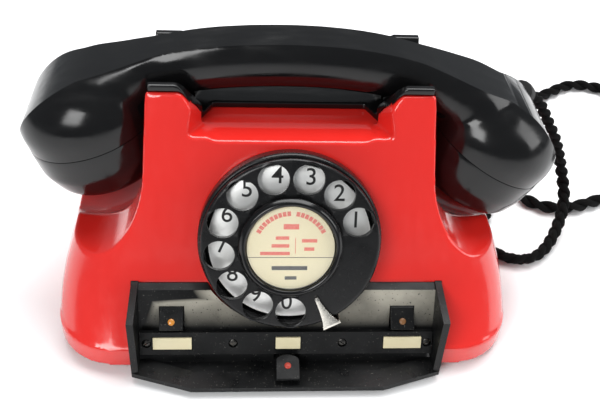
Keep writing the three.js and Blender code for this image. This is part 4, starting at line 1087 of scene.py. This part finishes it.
def make_feet():
    for place, (x, y) in {"front_left": (-78, -46), "front_right": (78, -46), "rear_left": (-78, 60),
                          "rear_right": (78, 60)}.items():
        foot = turned(filleted([(0, 0), (7, 0), (8, 1), (8, 3.1), (0, 3.1)], 0.3), 48)
        piece(move(foot, Matrix.Translation((x, y, 0))), f"rubber_foot_{place}", LOOKS["rubber"], "root",
              [f"foot_{place}"], "rubber")


make_tray()
make_dots()
make_bushes()
make_feet()
for hidden, look in {
    "base_plate": "steel", "hook_switch": "steel", "key_springset": "steel", "clapper": "steel",
    "gong_left": "brass", "gong_right": "brass", "gong_post_left": "steel", "gong_post_right": "steel",
    "ringer_coils": "copper", "induction_coil": "copper", "capacitor": "steel", "terminal_strip": "satin",
    "receiver_capsule": "steel", "transmitter_capsule": "steel", "dial_shaft": "brass", "dial_gear": "brass",
    "governor": "brass", "handset_cord_bush": "rubber", "terminal_block": "black",
}.items():
    dress(hidden, LOOKS[look], 0.3)


# ------------------------------------------------------------------ floor and light
def make_floor():
    size = 3.0
    floor = mesh_object("floor", [(-size, -size, 0), (size, -size, 0), (size, size, 0), (-size, size, 0)],
                        [[0, 1, 2, 3]])
    floor.data.materials.append(LOOKS["floor"])


def area_light(name, place, aim, width, height, power, color=(1, 1, 1)):
    data = bpy.data.lights.new(name, "AREA")
    data.shape = "RECTANGLE"
    data.size, data.size_y = width, height
    data.energy = power
    data.color = color
    light = bpy.data.objects.new(name, data)
    light.location = place
    light.rotation_mode = "QUATERNION"
    light.rotation_quaternion = (Vector(aim) - Vector(place)).to_track_quat("-Z", "Y")
    bpy.context.scene.collection.objects.link(light)


def make_light():
    world = bpy.data.worlds.new("studio")
    world.use_nodes = True
    world.node_tree.nodes["Background"].inputs["Color"].default_value = (0.9, 0.95, 1, 1)
    world.node_tree.nodes["Background"].inputs["Strength"].default_value = 0.25
    bpy.context.scene.world = world
    bpy.context.scene.view_settings.view_transform = "Standard"
    area_light("overhead", (0.1, 0.35, 0.95), (0, 0, 0.05), 1.1, 0.7, 15)
    area_light("front", (-0.5, -0.8, 0.75), (0, 0, 0.05), 0.5, 0.5, 7)
    area_light("side", (0.9, -0.2, 0.5), (0, 0, 0.05), 0.4, 0.6, 3)


make_floor()
make_light()


def as_lists(bounds):
    return [[float(v) for v in corner] for corner in bounds]
